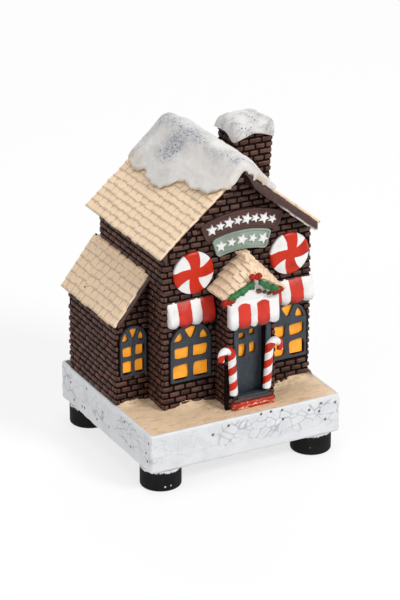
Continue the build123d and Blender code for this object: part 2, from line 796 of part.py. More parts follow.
def chimney():
    """The brick stack on the right slope and the snow on it."""
    left = HOUSE_X + CHIMNEY_OFFSET - CHIMNEY_W / 2
    front = HOUSE_FRONT + CHIMNEY_FRONT
    top = RIDGE_Z + CHIMNEY_RISE
    across, along = (left, left + CHIMNEY_W), (front, front + CHIMNEY_D)
    foot = across[1] - CHIMNEY_TAPER
    outline = [
        (across[0], roof_top(across[0])),
        (foot, roof_top(foot)),
        (across[1], top),
        (across[0], top),
    ]
    stack = prism(outline, *along)
    cap = block(
        (across[0] - CAP_OVER, across[1] + CAP_OVER),
        (along[0] - CAP_OVER, along[1] + CAP_OVER),
        (top, top + CAP_T),
    )
    rounded = cap.edges().filter_by(Axis.Z) + cap.faces().sort_by(Axis.Z)[-1].edges()
    return {"chimney": stack, "chimney_snow": fillet(rounded, CAP_ROUND)}


def roof_top(x):
    """The height of the tile noses on the main roof at x."""
    return RIDGE_Z - abs(x - HOUSE_X) * SLOPE


def ridge_snow(stack):
    """The snow along the ridge: a wavy sheet on each slope, joined over the top."""
    pitch = radians(ROOF_PITCH)
    front, back = -(ROOF_FRONT - SNOW_OVER), -(ROOF_BACK + SNOW_OVER)
    span = front - back
    edge = [
        (back + span * i / (len(SNOW_WAVES) - 1), -SNOW_LEFT - SNOW_WAVE_DEEP * wave)
        for i, wave in enumerate(SNOW_WAVES)
    ]
    left_plane = Plane(
        origin=(HOUSE_X, 0, RIDGE_Z), x_dir=(0, -1, 0), z_dir=(-sin(pitch), 0, cos(pitch))
    )
    right_plane = Plane(
        origin=(HOUSE_X, 0, RIDGE_Z), x_dir=(0, -1, 0), z_dir=(sin(pitch), 0, cos(pitch))
    )
    left = make_face([Spline(*edge), Polyline(edge[-1], (front, 0), (back, 0), edge[0])])
    corners = [(back, 0), (front, 0), (front, SNOW_RIGHT), (back, SNOW_RIGHT)]
    right = make_face(Polyline(*corners, close=True))
    side_x = SNOW_CREST_RUN * cos(pitch) + SNOW_T * sin(pitch)
    side_z = RIDGE_Z - SNOW_CREST_RUN * sin(pitch) + SNOW_T * cos(pitch)
    crown = [
        (HOUSE_X, RIDGE_Z),
        (HOUSE_X + side_x, side_z),
        (HOUSE_X, RIDGE_Z + SNOW_CREST),
        (HOUSE_X - side_x, side_z),
    ]
    sheet = prism(crown, -front, -back)
    sheet += extrude(left_plane * left, SNOW_T)
    sheet += extrude(right_plane * right, SNOW_T)
    box = stack.bounding_box()
    room = block(
        (box.min.X - SNOW_CHIMNEY_GAP, HOUSE_RIGHT + EAVE_RIGHT),
        (box.min.Y - SNOW_CHIMNEY_GAP, box.max.Y + SNOW_CHIMNEY_GAP),
        (GROUND_Z, RIDGE_Z + 2 * SNOW_CREST),
    )
    return sheet - room


def screw_places():
    """Where the light unit's screws stand, evenly round its flange."""
    turns = [radians(LUG_START + 360 * i / SCREW_COUNT) for i in range(SCREW_COUNT)]
    return [(UNIT_X + SCREW_R * cos(t), UNIT_Y + SCREW_R * sin(t)) for t in turns]


def wedge(x, y, low, high, inner, outer, middle, angle):
    """A sector of an upright ring, centred on the direction middle, in degrees."""
    start = radians(middle - angle / 2)
    end = radians(middle + angle / 2)
    mid = radians(middle)

    def at(r, t):
        return (x + r * cos(t), y + r * sin(t))

    outline = [
        ThreePointArc(at(outer, start), at(outer, mid), at(outer, end)),
        Line(at(outer, end), at(inner, end)),
        ThreePointArc(at(inner, end), at(inner, mid), at(inner, start)),
        Line(at(inner, start), at(outer, start)),
    ]
    return extrude(Plane.XY.offset(low) * make_face(outline), high - low)


def light_housing():
    """The round cup in the bore: flange, wall, posts for the board, and the cap's bayonet hole."""
    cup = disc(UNIT_X, UNIT_Y, FOOT_H, FOOT_H + FLANGE_T, FLANGE_R)
    cup += disc(UNIT_X, UNIT_Y, FOOT_H, LID_TOP - LID_T, UNIT_R)
    inner = UNIT_R - UNIT_WALL
    cup -= disc(UNIT_X, UNIT_Y, FLOOR_TOP, LID_TOP, inner)
    for turn in POST_TURNS:
        cup += wedge(
            UNIT_X, UNIT_Y, FLOOR_TOP, BOARD_BOTTOM, inner - POST_W, inner, turn, POST_ANGLE
        )
    cup -= disc(CELL_X, UNIT_Y, FOOT_H, FOOT_H + CAP_FLANGE_T, CAP_FLANGE_R + CAP_FIT)
    cup -= disc(CELL_X, UNIT_Y, FOOT_H, FLOOR_TOP, CAP_COLLAR_R + CAP_FIT)
    reach = CAP_COLLAR_R + LUG_REACH + CAP_FIT
    for turn in lug_turns(-CAP_TURN):
        cup -= wedge(
            CELL_X, UNIT_Y, FOOT_H, FLOOR_TOP, CAP_COLLAR_R, reach, turn, LUG_ANGLE + LUG_PLAY
        )
    cup -= lever_slot(FOOT_H, FLOOR_TOP)
    holes = [
        disc(x, y, FOOT_H, FOOT_H + FLANGE_T, SCREW_D / 2 + SCREW_FIT)
        for x, y in screw_places()
    ]
    return cup - holes


def lever_slot(low, high):
    """The room that the switch's lever needs over its whole travel, between two heights."""
    half_w = LEVER_W / 2 + LEVER_FIT
    half_l = (SWITCH_TRAVEL + LEVER_L) / 2 + LEVER_FIT
    return block(
        (SWITCH_X - half_w, SWITCH_X + half_w), (UNIT_Y - half_l, UNIT_Y + half_l), (low, high)
    )


def lug_turns(turn):
    """The two directions of the cap's lugs when the cap has turned by that many degrees."""
    return (LUG_START + turn, LUG_START + turn + 180)


def light_lid():
    """The lid on the cup, pressed on the board's edge, with a hole for the lamp."""
    lid = disc(UNIT_X, UNIT_Y, LID_TOP - LID_T, LID_TOP, UNIT_R)
    rim_out = UNIT_R - UNIT_WALL - BOARD_FIT
    rim = disc(UNIT_X, UNIT_Y, BOARD_BOTTOM + BOARD_T, LID_TOP - LID_T, rim_out)
    rim -= disc(UNIT_X, UNIT_Y, BOARD_BOTTOM + BOARD_T, LID_TOP - LID_T, rim_out - UNIT_WALL)
    return lid + rim - disc(UNIT_X, UNIT_Y, BOARD_BOTTOM, LID_TOP, LAMP_D / 2 + LAMP_FIT)


def electrics():
    """The board, lamp, coin cell, its holder and contacts, and the switch body."""
    board_r = UNIT_R - UNIT_WALL - BOARD_FIT
    board = disc(UNIT_X, UNIT_Y, BOARD_BOTTOM, BOARD_BOTTOM + BOARD_T, board_r)
    lamp_z = BOARD_BOTTOM + BOARD_T
    lamp = disc(UNIT_X, UNIT_Y, lamp_z, lamp_z + LAMP_FLANGE_T, LAMP_FLANGE_D / 2)
    stem_top = lamp_z + LAMP_H - LAMP_D / 2
    lamp += disc(UNIT_X, UNIT_Y, lamp_z, stem_top, LAMP_D / 2)
    lamp += Pos(UNIT_X, UNIT_Y, stem_top) * Sphere(LAMP_D / 2)
    cell = disc(CELL_X, UNIT_Y, CELL_Z, CELL_Z + CELL_T, CELL_D / 2)
    holder = disc(CELL_X, UNIT_Y, CELL_Z, BOARD_BOTTOM, HOLDER_R)
    holder -= disc(CELL_X, UNIT_Y, CELL_Z, BOARD_BOTTOM, HOLDER_R - HOLDER_WALL)
    side = block(
        (CELL_X + CELL_D / 2, CELL_X + CELL_D / 2 + CONTACT_T),
        (UNIT_Y - CONTACT_W / 2, UNIT_Y + CONTACT_W / 2),
        (CELL_Z, BOARD_BOTTOM),
    )
    notch = block(
        (CELL_X, CELL_X + CELL_D / 2 + CONTACT_T + CELL_FIT),
        (UNIT_Y - CONTACT_W / 2 - CELL_FIT, UNIT_Y + CONTACT_W / 2 + CELL_FIT),
        (CELL_Z, BOARD_BOTTOM),
    )
    switch = block(
        (SWITCH_X - SWITCH_W / 2, SWITCH_X + SWITCH_W / 2),
        (UNIT_Y - SWITCH_L / 2, UNIT_Y + SWITCH_L / 2),
        (BOARD_BOTTOM - SWITCH_H, BOARD_BOTTOM),
    )
    switch -= lever_slot(BOARD_BOTTOM - SWITCH_H, BOARD_BOTTOM - SWITCH_H / 3)
    return {
        "circuit_board": board,
        "lamp": lamp,
        "coin_cell": cell,
        "cell_holder": holder - notch,
        "contact_side": side,
        "contact_top": spring_contact(),
        "switch_body": switch,
    }


def spring_contact():
    """The bent strip between the board and the top of the cell."""
    top, low = BOARD_BOTTOM, CELL_Z + CELL_T
    start, end = CELL_X - CELL_D / 4, CELL_X + CELL_D / 4
    middle = (start + end) / 2
    outline = [
        (start, top),
        (start, top - CONTACT_T),
        (middle - CONTACT_T, low),
        (middle + CONTACT_T, low),
        (end, top - CONTACT_T),
        (end, top),
        (end - 2 * CONTACT_T, top),
        (middle, low + 2 * CONTACT_T),
        (start + 2 * CONTACT_T, top),
    ]
    return prism(outline, UNIT_Y - CONTACT_W / 2, UNIT_Y + CONTACT_W / 2)


def battery_cap():
    """The twist cap: flange, collar, two bayonet lugs and a coin slot."""
    flange_top = FOOT_H + CAP_FLANGE_T - CAP_FIT
    cap = disc(CELL_X, UNIT_Y, FOOT_H, flange_top, CAP_FLANGE_R)
    cap += disc(CELL_X, UNIT_Y, FOOT_H, COLLAR_TOP, CAP_COLLAR_R)
    cap -= disc(CELL_X, UNIT_Y, flange_top + CAP_WEB, COLLAR_TOP, CAP_COLLAR_R - CAP_COLLAR_WALL)
    for turn in lug_turns(0):
        cap += wedge(
            CELL_X,
            UNIT_Y,
            FLOOR_TOP + CAP_FIT,
            FLOOR_TOP + CAP_FIT + LUG_T,
            CAP_COLLAR_R - CAP_COLLAR_WALL / 2,
            CAP_COLLAR_R + LUG_REACH,
            turn,
            LUG_ANGLE,
        )
    slot = block(
        (CELL_X - COIN_SLOT_L / 2, CELL_X + COIN_SLOT_L / 2),
        (UNIT_Y - COIN_SLOT_W / 2, UNIT_Y + COIN_SLOT_W / 2),
        (FOOT_H, FOOT_H + COIN_SLOT_DEEP),
    )
    return cap - slot


def switch_slider():
    """The lever that reaches from the switch through the cup's floor, stored switched off."""
    y = UNIT_Y - SWITCH_TRAVEL / 2
    return block(
        (SWITCH_X - LEVER_W / 2, SWITCH_X + LEVER_W / 2),
        (y - LEVER_L / 2, y + LEVER_L / 2),
        (FOOT_H - LEVER_OUT, BOARD_BOTTOM - SWITCH_H / 2),
    )


def unit_screws():
    """The pan-head screws that hold the light unit's flange."""
    screws = []
    for x, y in screw_places():
        screw = disc(x, y, FOOT_H - SCREW_HEAD_H, FOOT_H, SCREW_HEAD_D / 2)
        screws.append(screw + disc(x, y, FOOT_H, FOOT_H + SCREW_L, SCREW_D / 2))
    return Compound(screws)


def assembly():
    """Every sub-part by its node name."""
    nodes = {"plinth": plinth(), "ground": ground(), **feet()}
    nodes["house_walls"] = house_walls()
    nodes.update(main_roof())
    nodes.update(wing())
    nodes["entrance_bay"] = entrance_bay()
    nodes.update(porch())
    nodes.update(door())
    frames = windows()
    nodes.update(frames)
    nodes.update(awnings(frames, nodes["door_trim"]))
    nodes.update(sweets())
    nodes.update(signs())
    nodes.update(candy_canes())
    nodes.update(garland())
    nodes.update(chimney())
    nodes["ridge_snow"] = ridge_snow(nodes["chimney"])
    nodes["light_housing"] = light_housing()
    nodes["light_lid"] = light_lid()
    nodes.update(electrics())
    nodes["battery_cap"] = battery_cap()
    nodes["switch_slider"] = switch_slider()
    nodes["unit_screws"] = unit_screws()
    return nodes


def main():
    os.makedirs("parts", exist_ok=True)
    for name, shape in assembly().items():
        export_step(shape, f"parts/{name}.step")


main()
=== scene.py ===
"""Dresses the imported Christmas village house: bricks, shingles, snow, painted trim and the stage."""

import math
import random

import bmesh
import bpy
from bpy.props import FloatProperty, FloatVectorProperty, PointerProperty
from mathutils import Euler, Matrix, Vector, noise


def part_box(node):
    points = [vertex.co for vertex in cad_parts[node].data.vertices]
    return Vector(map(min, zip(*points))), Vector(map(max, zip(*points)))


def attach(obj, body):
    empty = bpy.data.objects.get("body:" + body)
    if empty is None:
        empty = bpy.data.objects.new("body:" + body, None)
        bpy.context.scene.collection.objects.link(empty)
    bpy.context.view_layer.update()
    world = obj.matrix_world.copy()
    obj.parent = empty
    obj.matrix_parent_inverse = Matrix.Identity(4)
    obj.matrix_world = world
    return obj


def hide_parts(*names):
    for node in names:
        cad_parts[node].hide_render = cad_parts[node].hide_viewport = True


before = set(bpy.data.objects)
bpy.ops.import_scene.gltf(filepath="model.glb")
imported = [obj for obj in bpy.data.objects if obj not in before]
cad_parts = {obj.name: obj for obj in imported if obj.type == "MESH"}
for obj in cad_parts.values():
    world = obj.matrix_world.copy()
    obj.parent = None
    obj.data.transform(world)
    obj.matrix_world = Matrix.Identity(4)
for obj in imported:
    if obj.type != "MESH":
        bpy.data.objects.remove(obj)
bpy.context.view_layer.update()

bl_info = {
    "name": "Christmas Village House",
    "version": (1, 0, 0),
    "blender": (4, 5, 0),
    "location": "View3D > Sidebar > Village House",
    "description": "Dresses the packed village house with bricks, shingles, snow and painted trim",
    "category": "Add Mesh",
}

MM = 0.001
UP = Vector((0.0, 0.0, 1.0))
ALONG_X = Vector((1.0, 0.0, 0.0))
ALONG_Y = Vector((0.0, 1.0, 0.0))
TO_FRONT = Matrix(((1, 0, 0, 0), (0, 0, -1, 0), (0, 1, 0, 0), (0, 0, 0, 1)))

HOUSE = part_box("house_walls")
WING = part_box("wing_walls")
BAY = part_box("entrance_bay")
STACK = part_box("chimney")
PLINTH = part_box("plinth")
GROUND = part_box("ground")
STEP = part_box("doorstep")
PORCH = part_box("porch_tiles_left")
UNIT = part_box("light_housing")
HOUSE_X = (HOUSE[0].x + HOUSE[1].x) / 2
FRONT_X = (BAY[0].x + BAY[1].x) / 2
UNIT_X = (UNIT[0].x + UNIT[1].x) / 2
UNIT_Y = (UNIT[0].y + UNIT[1].y) / 2


def srgb(red, green, blue):
    """A paint colour as a screen shows it, 0 to 255 each, turned into linear light with full alpha."""
    shares = [part / 255 for part in (red, green, blue)]
    linear = [s / 12.92 if s <= 0.04045 else ((s + 0.055) / 1.055) ** 2.4 for s in shares]
    return (*linear, 1.0)


def length(name, text, size):
    """A length property whose default is given in millimetres."""
    return FloatProperty(
        name=name, description=text, default=size * MM, min=0.0, unit="LENGTH", precision=5
    )


def angle(name, text, degrees):
    """An angle property whose default is given in degrees."""
    return FloatProperty(name=name, description=text, default=math.radians(degrees), unit="ROTATION")


def colour(name, text, *screen):
    """A colour property whose default is given as screen values from 0 to 255."""
    return FloatVectorProperty(
        name=name, description=text, default=srgb(*screen), size=4, min=0.0, max=1.0, subtype="COLOR"
    )


class VillageSizes(bpy.types.PropertyGroup):
    """Sizes of the cast and painted detail"""

    brick_course: length("Brick course", "Height of a row of bricks with its joint", 2.42)
    brick_length: length("Brick length", "Length of a brick with its joint", 4.7)
    brick_joint: length("Brick joint", "Width of the sunk joint between bricks", 0.82)
    brick_proud: length("Brick relief", "How far a brick stands out of the wall", 0.6)
    brick_bevel: length("Brick edge", "Worn edge of a brick", 0.24)
    roof_pitch: angle("Roof pitch", "Pitch of the main roof", 39.5)
    wing_pitch: angle("Wing pitch", "Pitch of the wing's roof", 52.4)
    porch_pitch: angle("Porch pitch", "Pitch of the porch roof", 44.6)
    shingle_course: length("Shingle course", "Visible length of a main roof shingle", 3.2)
    shingle_width: length("Shingle width", "Width of a main roof shingle", 4.4)
    tile_depth: length("Tile depth", "Thickness of the main roof's tile layer", 1.8)
    wing_tile_depth: length("Wing tile depth", "Thickness of the wing roof's tile layer", 1.5)
    porch_course: length("Porch course", "Visible length of a porch shingle", 3.0)
    porch_width: length("Porch shingle width", "Width of a porch shingle", 3.2)
    snow_depth: length("Snow depth", "Thickness of the snow away from the ridge", 1.4)
    snow_crest: length("Snow crest", "How much thicker the snow is over the ridge", 1.5)
    stone_size: length("Stone size", "Usual width of a stone in the plinth's face", 4.7)
    crack_depth: length("Crack depth", "Depth of the cracks between the stones", 0.2)
    window_arch: length("Window arch", "Rise of the shop windows' arched heads", 7.6)
    wing_arch: length("Wing window arch", "Rise of the wing window's arched head", 5.0)
    frame_edge: length("Frame edge", "Width of a shop window's outer edge", 1.6)
    frame_bar: length("Frame bar", "Width of a shop window's glazing bars", 2.0)
    wing_edge: length("Wing frame edge", "Width of the wing window's edge and bars", 1.35)
    cane_thick: length("Cane thickness", "Thickness of a candy cane", 3.1)
    cane_stripe: length("Cane stripe", "Rise of one turn of a candy cane's stripe", 6.2)


class VillageColours(bpy.types.PropertyGroup):
    """Paint colours of the house and its trim"""

    brick: colour("Brick", "Bricks in the middle of their range", 94, 60, 50)
    brick_grey: colour("Grey brick", "Bricks of the front wall", 92, 69, 62)
    brick_dark: colour("Dark brick", "Darkest bricks", 50, 32, 28)
    brick_worn: colour("Worn brick", "Rubbed brick edges", 138, 86, 70)
    # Also the near-black that painted shade on the bricks is drawn towards.
    mortar: colour("Mortar", "Sunk joints", 25, 16, 13)
    board: colour("Roof board", "Brown boards under the tiles", 76, 44, 36)
    shingle: colour("Shingle", "Cream roof shingles", 240, 212, 180)
    # Painted shade on the shingles' noses; the same grey also tints thin snow.
    shingle_shade_grey: colour("Shingle shade", "Grey wash on the shingles", 188, 170, 146)
    snow: colour("Snow", "Snow on roof and chimney", 218, 214, 210)
    soot: colour("Soot", "Blue-grey smudges in the snow", 122, 130, 142)
    stone: colour("Stone", "White plinth", 218, 219, 221)
    stone_wash: colour("Stone wash", "Grey wash on the stones", 190, 196, 206)
    ground: colour("Ground", "Cream ground", 234, 205, 170)
    ground_dark: colour("Ground shade", "Strokes in the ground", 192, 154, 116)
    foot: colour("Foot", "Black feet", 22, 20, 20)
    slate: colour("Slate", "Window frames and door", 47, 55, 63)
    # The film is also set to glow a little, as painted light, though the lamp behind it is not lit.
    amber: colour("Amber", "Lit window film", 255, 164, 34)
    amber_dark: colour("Dark amber", "Thicker window film", 212, 130, 18)
    red: colour("Red", "Red of the sweets and canes", 188, 34, 0)
    awning_red: colour("Awning red", "Red of the awnings", 198, 48, 32)
    white: colour("White", "White of the awnings and sweets", 234, 233, 232)
    sign_brown: colour("Brown sign", "Upper sign", 74, 42, 34)
    sign_green: colour("Green sign", "Lower sign", 142, 156, 144)
    green: colour("Green", "Garland", 24, 116, 50)
    twig: colour("Twig", "Brown bits in the garland", 112, 70, 30)
    plastic: colour("Plastic", "White plastic of the light unit", 236, 235, 230)


def sizes():
    return bpy.context.scene.village_sizes


def paint(name):
    """One of the paint colours as plain numbers."""
    return tuple(getattr(bpy.context.scene.village_colours, name))


# Shader helpers


def filled(tree, node, inputs):
    """Sets a node's inputs, where a socket is linked and anything else is a value, and returns the node."""
    for key, value in inputs.items():
        if isinstance(value, bpy.types.NodeSocket):
            tree.links.new(value, node.inputs[key])
        else:
            node.inputs[key].default_value = value
    return node


def put(tree, kind, inputs=None, **settings):
    """Adds a node with its settings, values and links, and returns it."""
    node = tree.nodes.new("ShaderNode" + kind)
    for key, value in settings.items():
        setattr(node, key, value)
    return filled(tree, node, inputs or {})


def mixed(tree, share, first, second):
    """A colour between two others."""
    return put(tree, "Mix", {0: share, 6: first, 7: second}, data_type="RGBA").outputs[2]


def ramp(tree, value, low, high):
    """A soft step from 0 at low to 1 at high."""
    inputs = {"Value": value, "From Min": low, "From Max": high}
    return put(tree, "MapRange", inputs, interpolation_type="SMOOTHSTEP").outputs["Result"]


def worked(tree, operation, first, second):
    """A sum, product or other result of two values."""
    return put(tree, "Math", {0: first, 1: second}, operation=operation).outputs[0]


def times(tree, first, second):
    """One value scaled by another."""
    return worked(tree, "MULTIPLY", first, second)


def cloud(tree, place, scale, detail=4.0, roughness=0.55):
    """Cloudy noise from 0 to 1."""
    inputs = {"Vector": place, "Scale": scale, "Detail": detail, "Roughness": roughness}
    return put(tree, "TexNoise", inputs).outputs["Fac"]


def placed(tree, stretch=(1.0, 1.0, 1.0)):
    """The object's own coordinates, stretched where a pattern runs along one axis."""
    place = put(tree, "TexCoord").outputs["Object"]
    if stretch == (1.0, 1.0, 1.0):
        return place
    return put(tree, "Mapping", {"Vector": place, "Scale": stretch}).outputs["Vector"]


def stored(tree, name):
    """A value kept on the mesh."""
    return put(tree, "Attribute", attribute_name=name).outputs["Fac"]


def group(name, inputs, outputs):
    """A new shader group with named sockets, and its input and output nodes."""
    tree = bpy.data.node_groups.new(name, "ShaderNodeTree")
    for direction, sockets in (("INPUT", inputs), ("OUTPUT", outputs)):
        for socket, kind in sockets:
            tree.interface.new_socket(socket, in_out=direction, socket_type="NodeSocket" + kind)
    return tree, tree.nodes.new("NodeGroupInput").outputs, tree.nodes.new("NodeGroupOutput").inputs


def hand_paint_group():
    """Brushed paint: a colour with darker patches, lighter rubbed spots and a fine relief."""
    tree, given, made = group(
        "Hand paint",
        [("Colour", "Color"), ("Dark", "Color"), ("Light", "Color"), ("Patch", "Float"), ("Rub", "Float")],
        [("Colour", "Color"), ("Height", "Float"), ("Roughness", "Float")],
    )
    place = placed(tree)
    patches = cloud(tree, place, given["Patch"])
    fine = cloud(tree, place, times(tree, given["Patch"], 6.0), 3.0)
    shade = times(tree, ramp(tree, patches, 0.45, 0.72), 0.8)
    rubbed = times(tree, ramp(tree, fine, 0.55, 0.78), given["Rub"])
    toned = mixed(tree, shade, given["Colour"], given["Dark"])
    tree.links.new(mixed(tree, rubbed, toned, given["Light"]), made["Colour"])
    both = worked(tree, "ADD", patches, times(tree, fine, 0.5))
    tree.links.new(both, made["Height"])
    gloss = put(tree, "MapRange", {"Value": fine, "To Min": 0.42, "To Max": 0.72}).outputs["Result"]
    tree.links.new(gloss, made["Roughness"])
    return tree


def specks_group():
    """Scattered round specks: a mask from the cells whose own random value is high enough."""
    tree, given, made = group(
        "Specks",
        [("Scale", "Float"), ("Size", "Float"), ("Share", "Float")],
        [("Mask", "Float")],
    )
    place = placed(tree)
    cells = put(tree, "TexVoronoi", {"Vector": place, "Scale": given["Scale"]})
    near = worked(tree, "LESS_THAN", cells.outputs["Distance"], given["Size"])
    random_share = put(tree, "SeparateColor", {"Color": cells.outputs["Color"]}).outputs[0]
    chosen = worked(tree, "LESS_THAN", random_share, given["Share"])
    tree.links.new(times(tree, near, chosen), made["Mask"])
    return tree


def shared(tree, maker, name, inputs):
    """Places a shared group, built the first time that it is needed."""
    node = tree.nodes.new("ShaderNodeGroup")
    node.node_tree = bpy.data.node_groups.get(name) or maker()
    return filled(tree, node, inputs).outputs


def painted(tree, main, dark, light, patch, rub):
    """The shared brushed paint with its own colours."""
    inputs = {"Colour": main, "Dark": dark, "Light": light, "Patch": patch, "Rub": rub}
    return shared(tree, hand_paint_group, "Hand paint", inputs)


def brushed(tree, main, dark, light, patch, rub):
    """The brushed paint of one colour, whose darker and lighter tones are given as factors."""
    return painted(tree, main, shaded(main, dark), shaded(main, light), patch, rub)


def specks(tree, scale, size, share):
    """The shared specks with their own spacing, size and number."""
    return shared(tree, specks_group, "Specks", {"Scale": scale, "Size": size, "Share": share})["Mask"]


def material(name, build, **constants):
    """The material of that name, built once: build links the shader, constants set its plain sockets."""
    made = bpy.data.materials.get(name)
    if made is None:
        made = bpy.data.materials.new(name)
        made.use_nodes = True
        shader = made.node_tree.nodes["Principled BSDF"]
        for key, value in constants.items():
            shader.inputs[key.replace("_", " ")].default_value = value
        build(made.node_tree, shader.inputs)
    return made


def as_finish(name, **constants):
    """Turns a function that links a shader into one that gives its material, built once."""

    def wrapped(build):
        return lambda: material(name, build, **constants)

    return wrapped


def link(tree, shader, tint, height=None, depth=0.0, roughness=None):
    """Links colour, relief and roughness to the shader. Depth is the relief's height in metres."""
    tree.links.new(tint, shader["Base Color"])
    if height is not None:
        bump = put(tree, "Bump", {"Strength": 1.0, "Distance": depth, "Height": height})
        tree.links.new(bump.outputs["Normal"], shader["Normal"])
    if roughness is not None:
        tree.links.new(roughness, shader["Roughness"])


def shaded(rgba, factor):
    """A colour made darker or lighter by a factor."""
    return tuple(min(1.0, part * factor) for part in rgba[:3]) + (1.0,)


# Finishes


@as_finish("brick paint", Specular_IOR_Level=0.3)
def brick_finish(tree, shader):
    shade = stored(tree, "shade")
    warm = mixed(tree, shade, paint("brick_dark"), paint("brick"))
    cool = mixed(tree, shade, paint("brick_dark"), paint("brick_grey"))
    front = stored(tree, "front")
    tone = mixed(tree, front, warm, cool)
    # Below nothing, the "front" value draws the bricks towards the near-black mortar colour: painted shade on
    # the left walls, under the chimney cap and under the wing's verge. Above nothing it gives the greyer
    # front bricks.
    tone = mixed(tree, ramp(tree, front, 0.0, -1.0), tone, paint("mortar"))
    hand = painted(tree, tone, shaded(paint("brick_dark"), 0.6), paint("brick_worn"), 210.0, 0.4)
    rough = cloud(tree, placed(tree), 900.0, 3.0)
    rubbed = times(tree, stored(tree, "worn"), ramp(tree, rough, 0.4, 0.62))
    tint = mixed(tree, times(tree, rubbed, 0.6), hand["Colour"], paint("brick_worn"))
    chips = specks(tree, 300.0, 0.12, 0.012)
    tint = mixed(tree, chips, tint, paint("white"))
    link(tree, shader, tint, hand["Height"], 0.22 * MM, hand["Roughness"])


def plain_finish(name, main, dark, light, patch, rub, depth, **constants):
    """A hand-painted finish of one colour with its darker and lighter tones."""

    def build(tree, shader):
        hand = painted(tree, main, dark, light, patch, rub)
        rough = None if "Roughness" in constants else hand["Roughness"]
        link(tree, shader, hand["Colour"], hand["Height"], depth, rough)

    return material(name, build, **constants)


# Dark joints, and near-black painted shade where it is laid on as blocks or a board.
def mortar_and_shade_finish():
    main = paint("mortar")
    return plain_finish(
        "mortar paint", main, shaded(main, 0.6), paint("brick_dark"), 200.0, 0.5, 0.15 * MM,
        Roughness=0.95, Specular_IOR_Level=0.05,
    )


def board_finish():
    main = paint("board")
    return plain_finish("board paint", main, shaded(main, 0.5), paint("brick_worn"), 140.0, 0.35, 0.25 * MM)


@as_finish("shingle paint")
def shingle_finish(tree, shader):
    place = placed(tree)
    uneven = cloud(tree, place, 420.0, 4.0)
    # Painted shade: faces whose "nose" value reaches one, the shingles' lower steps, turn grey.
    low = worked(tree, "ADD", stored(tree, "nose"), times(tree, uneven, 0.3))
    wash = times(tree, ramp(tree, low, 1.02, 1.12), 0.9)
    main = paint("shingle")
    dull = mixed(tree, times(tree, stored(tree, "shade"), 0.3), main, shaded(main, 0.84))
    hand = painted(tree, dull, shaded(main, 0.93), shaded(main, 1.05), 150.0, 0.3)
    tint = mixed(tree, wash, hand["Colour"], paint("shingle_shade_grey"))
    cracks = specks(tree, 240.0, 0.13, 0.02)
    tint = mixed(tree, cracks, tint, paint("twig"))
    link(tree, shader, tint, hand["Height"], 0.1 * MM, hand["Roughness"])


@as_finish("snow paint")
def snow_finish(tree, shader):
    place = placed(tree)
    soot = stored(tree, "soot")
    fine = cloud(tree, place, 900.0, 5.0, 0.7)
    broad = cloud(tree, place, 160.0, 3.0)
    main = paint("snow")
    mask = times(tree, soot, ramp(tree, fine, 0.24, 0.68))
    hand = brushed(tree, main, 0.86, 1.06, 110.0, 0.4)
    tint = mixed(tree, mask, hand["Colour"], paint("soot"))
    flecks = times(tree, specks(tree, 800.0, 0.26, 0.42), ramp(tree, soot, 0.25, 0.6))
    tint = mixed(tree, flecks, tint, shaded(paint("soot"), 0.2))
    warm = times(tree, ramp(tree, stored(tree, "thin"), 0.2, 1.0), ramp(tree, broad, 0.35, 0.6))
    tint = mixed(tree, times(tree, warm, 0.75), tint, paint("shingle_shade_grey"))
    link(tree, shader, tint, hand["Height"], 0.16 * MM, hand["Roughness"])


@as_finish("stone paint")
def stone_finish(tree, shader):
    place = placed(tree)
    main, cool = paint("stone"), paint("stone_wash")
    broad = cloud(tree, place, 55.0, 3.0)
    wash = times(tree, stored(tree, "wash"), ramp(tree, broad, 0.38, 0.66))
    hand = brushed(tree, main, 0.88, 1.06, 130.0, 0.4)
    tint = mixed(tree, times(tree, wash, 0.55), hand["Colour"], cool)
    tint = mixed(tree, times(tree, stored(tree, "crack"), 0.75), tint, shaded(cool, 0.66))
    tint = mixed(tree, stored(tree, "pit"), tint, paint("foot"))
    link(tree, shader, tint, hand["Height"], 0.1 * MM, hand["Roughness"])


@as_finish("ground paint")
def ground_finish(tree, shader):
    main = paint("ground")
    strokes = cloud(tree, placed(tree, (1.0, 4.5, 3.0)), 230.0, 6.0, 0.7)
    mask = times(tree, ramp(tree, strokes, 0.5, 0.66), 0.75)
    hand = brushed(tree, main, 0.86, 1.12, 100.0, 0.5)
    tint = mixed(tree, mask, hand["Colour"], paint("ground_dark"))
    tint = mixed(tree, stored(tree, "earth"), tint, paint("board"))
    height = worked(tree, "ADD", strokes, times(tree, hand["Height"], 0.4))
    link(tree, shader, tint, height, 0.5 * MM, hand["Roughness"])


@as_finish("foot rubber", Roughness=0.75, Specular_IOR_Level=0.15)
def foot_finish(tree, shader):
    place = placed(tree)
    height = put(tree, "SeparateXYZ", {"Vector": place}).outputs["Z"]
    uneven = cloud(tree, place, 700.0, 4.0, 0.7)
    hand = brushed(tree, paint("foot"), 0.5, 2.2, 220.0, 0.3)
    ragged = worked(tree, "ADD", height, times(tree, uneven, 3.0 * MM))
    top = ramp(tree, ragged, 8.9 * MM, 9.4 * MM)
    low = times(tree, specks(tree, 500.0, 0.22, 0.16), ramp(tree, height, 4.0 * MM, 1.2 * MM))
    tint = mixed(tree, worked(tree, "MAXIMUM", top, low), hand["Colour"], paint("stone"))
    link(tree, shader, tint, hand["Height"], 0.15 * MM)


@as_finish("slate paint")
def slate_finish(tree, shader):
    strokes = cloud(tree, placed(tree, (4.0, 4.0, 1.0)), 240.0, 4.0, 0.6)
    main = paint("slate")
    hand = brushed(tree, main, 0.5, 1.8, 330.0, 0.45)
    streaks = times(tree, ramp(tree, strokes, 0.52, 0.72), 0.4)
    tint = mixed(tree, streaks, hand["Colour"], shaded(main, 1.7))
    flecks = times(tree, specks(tree, 1100.0, 0.3, 0.3), 0.5)
    tint = mixed(tree, flecks, tint, shaded(main, 2.6))
    link(tree, shader, tint, worked(tree, "ADD", strokes, hand["Height"]), 0.1 * MM, hand["Roughness"])
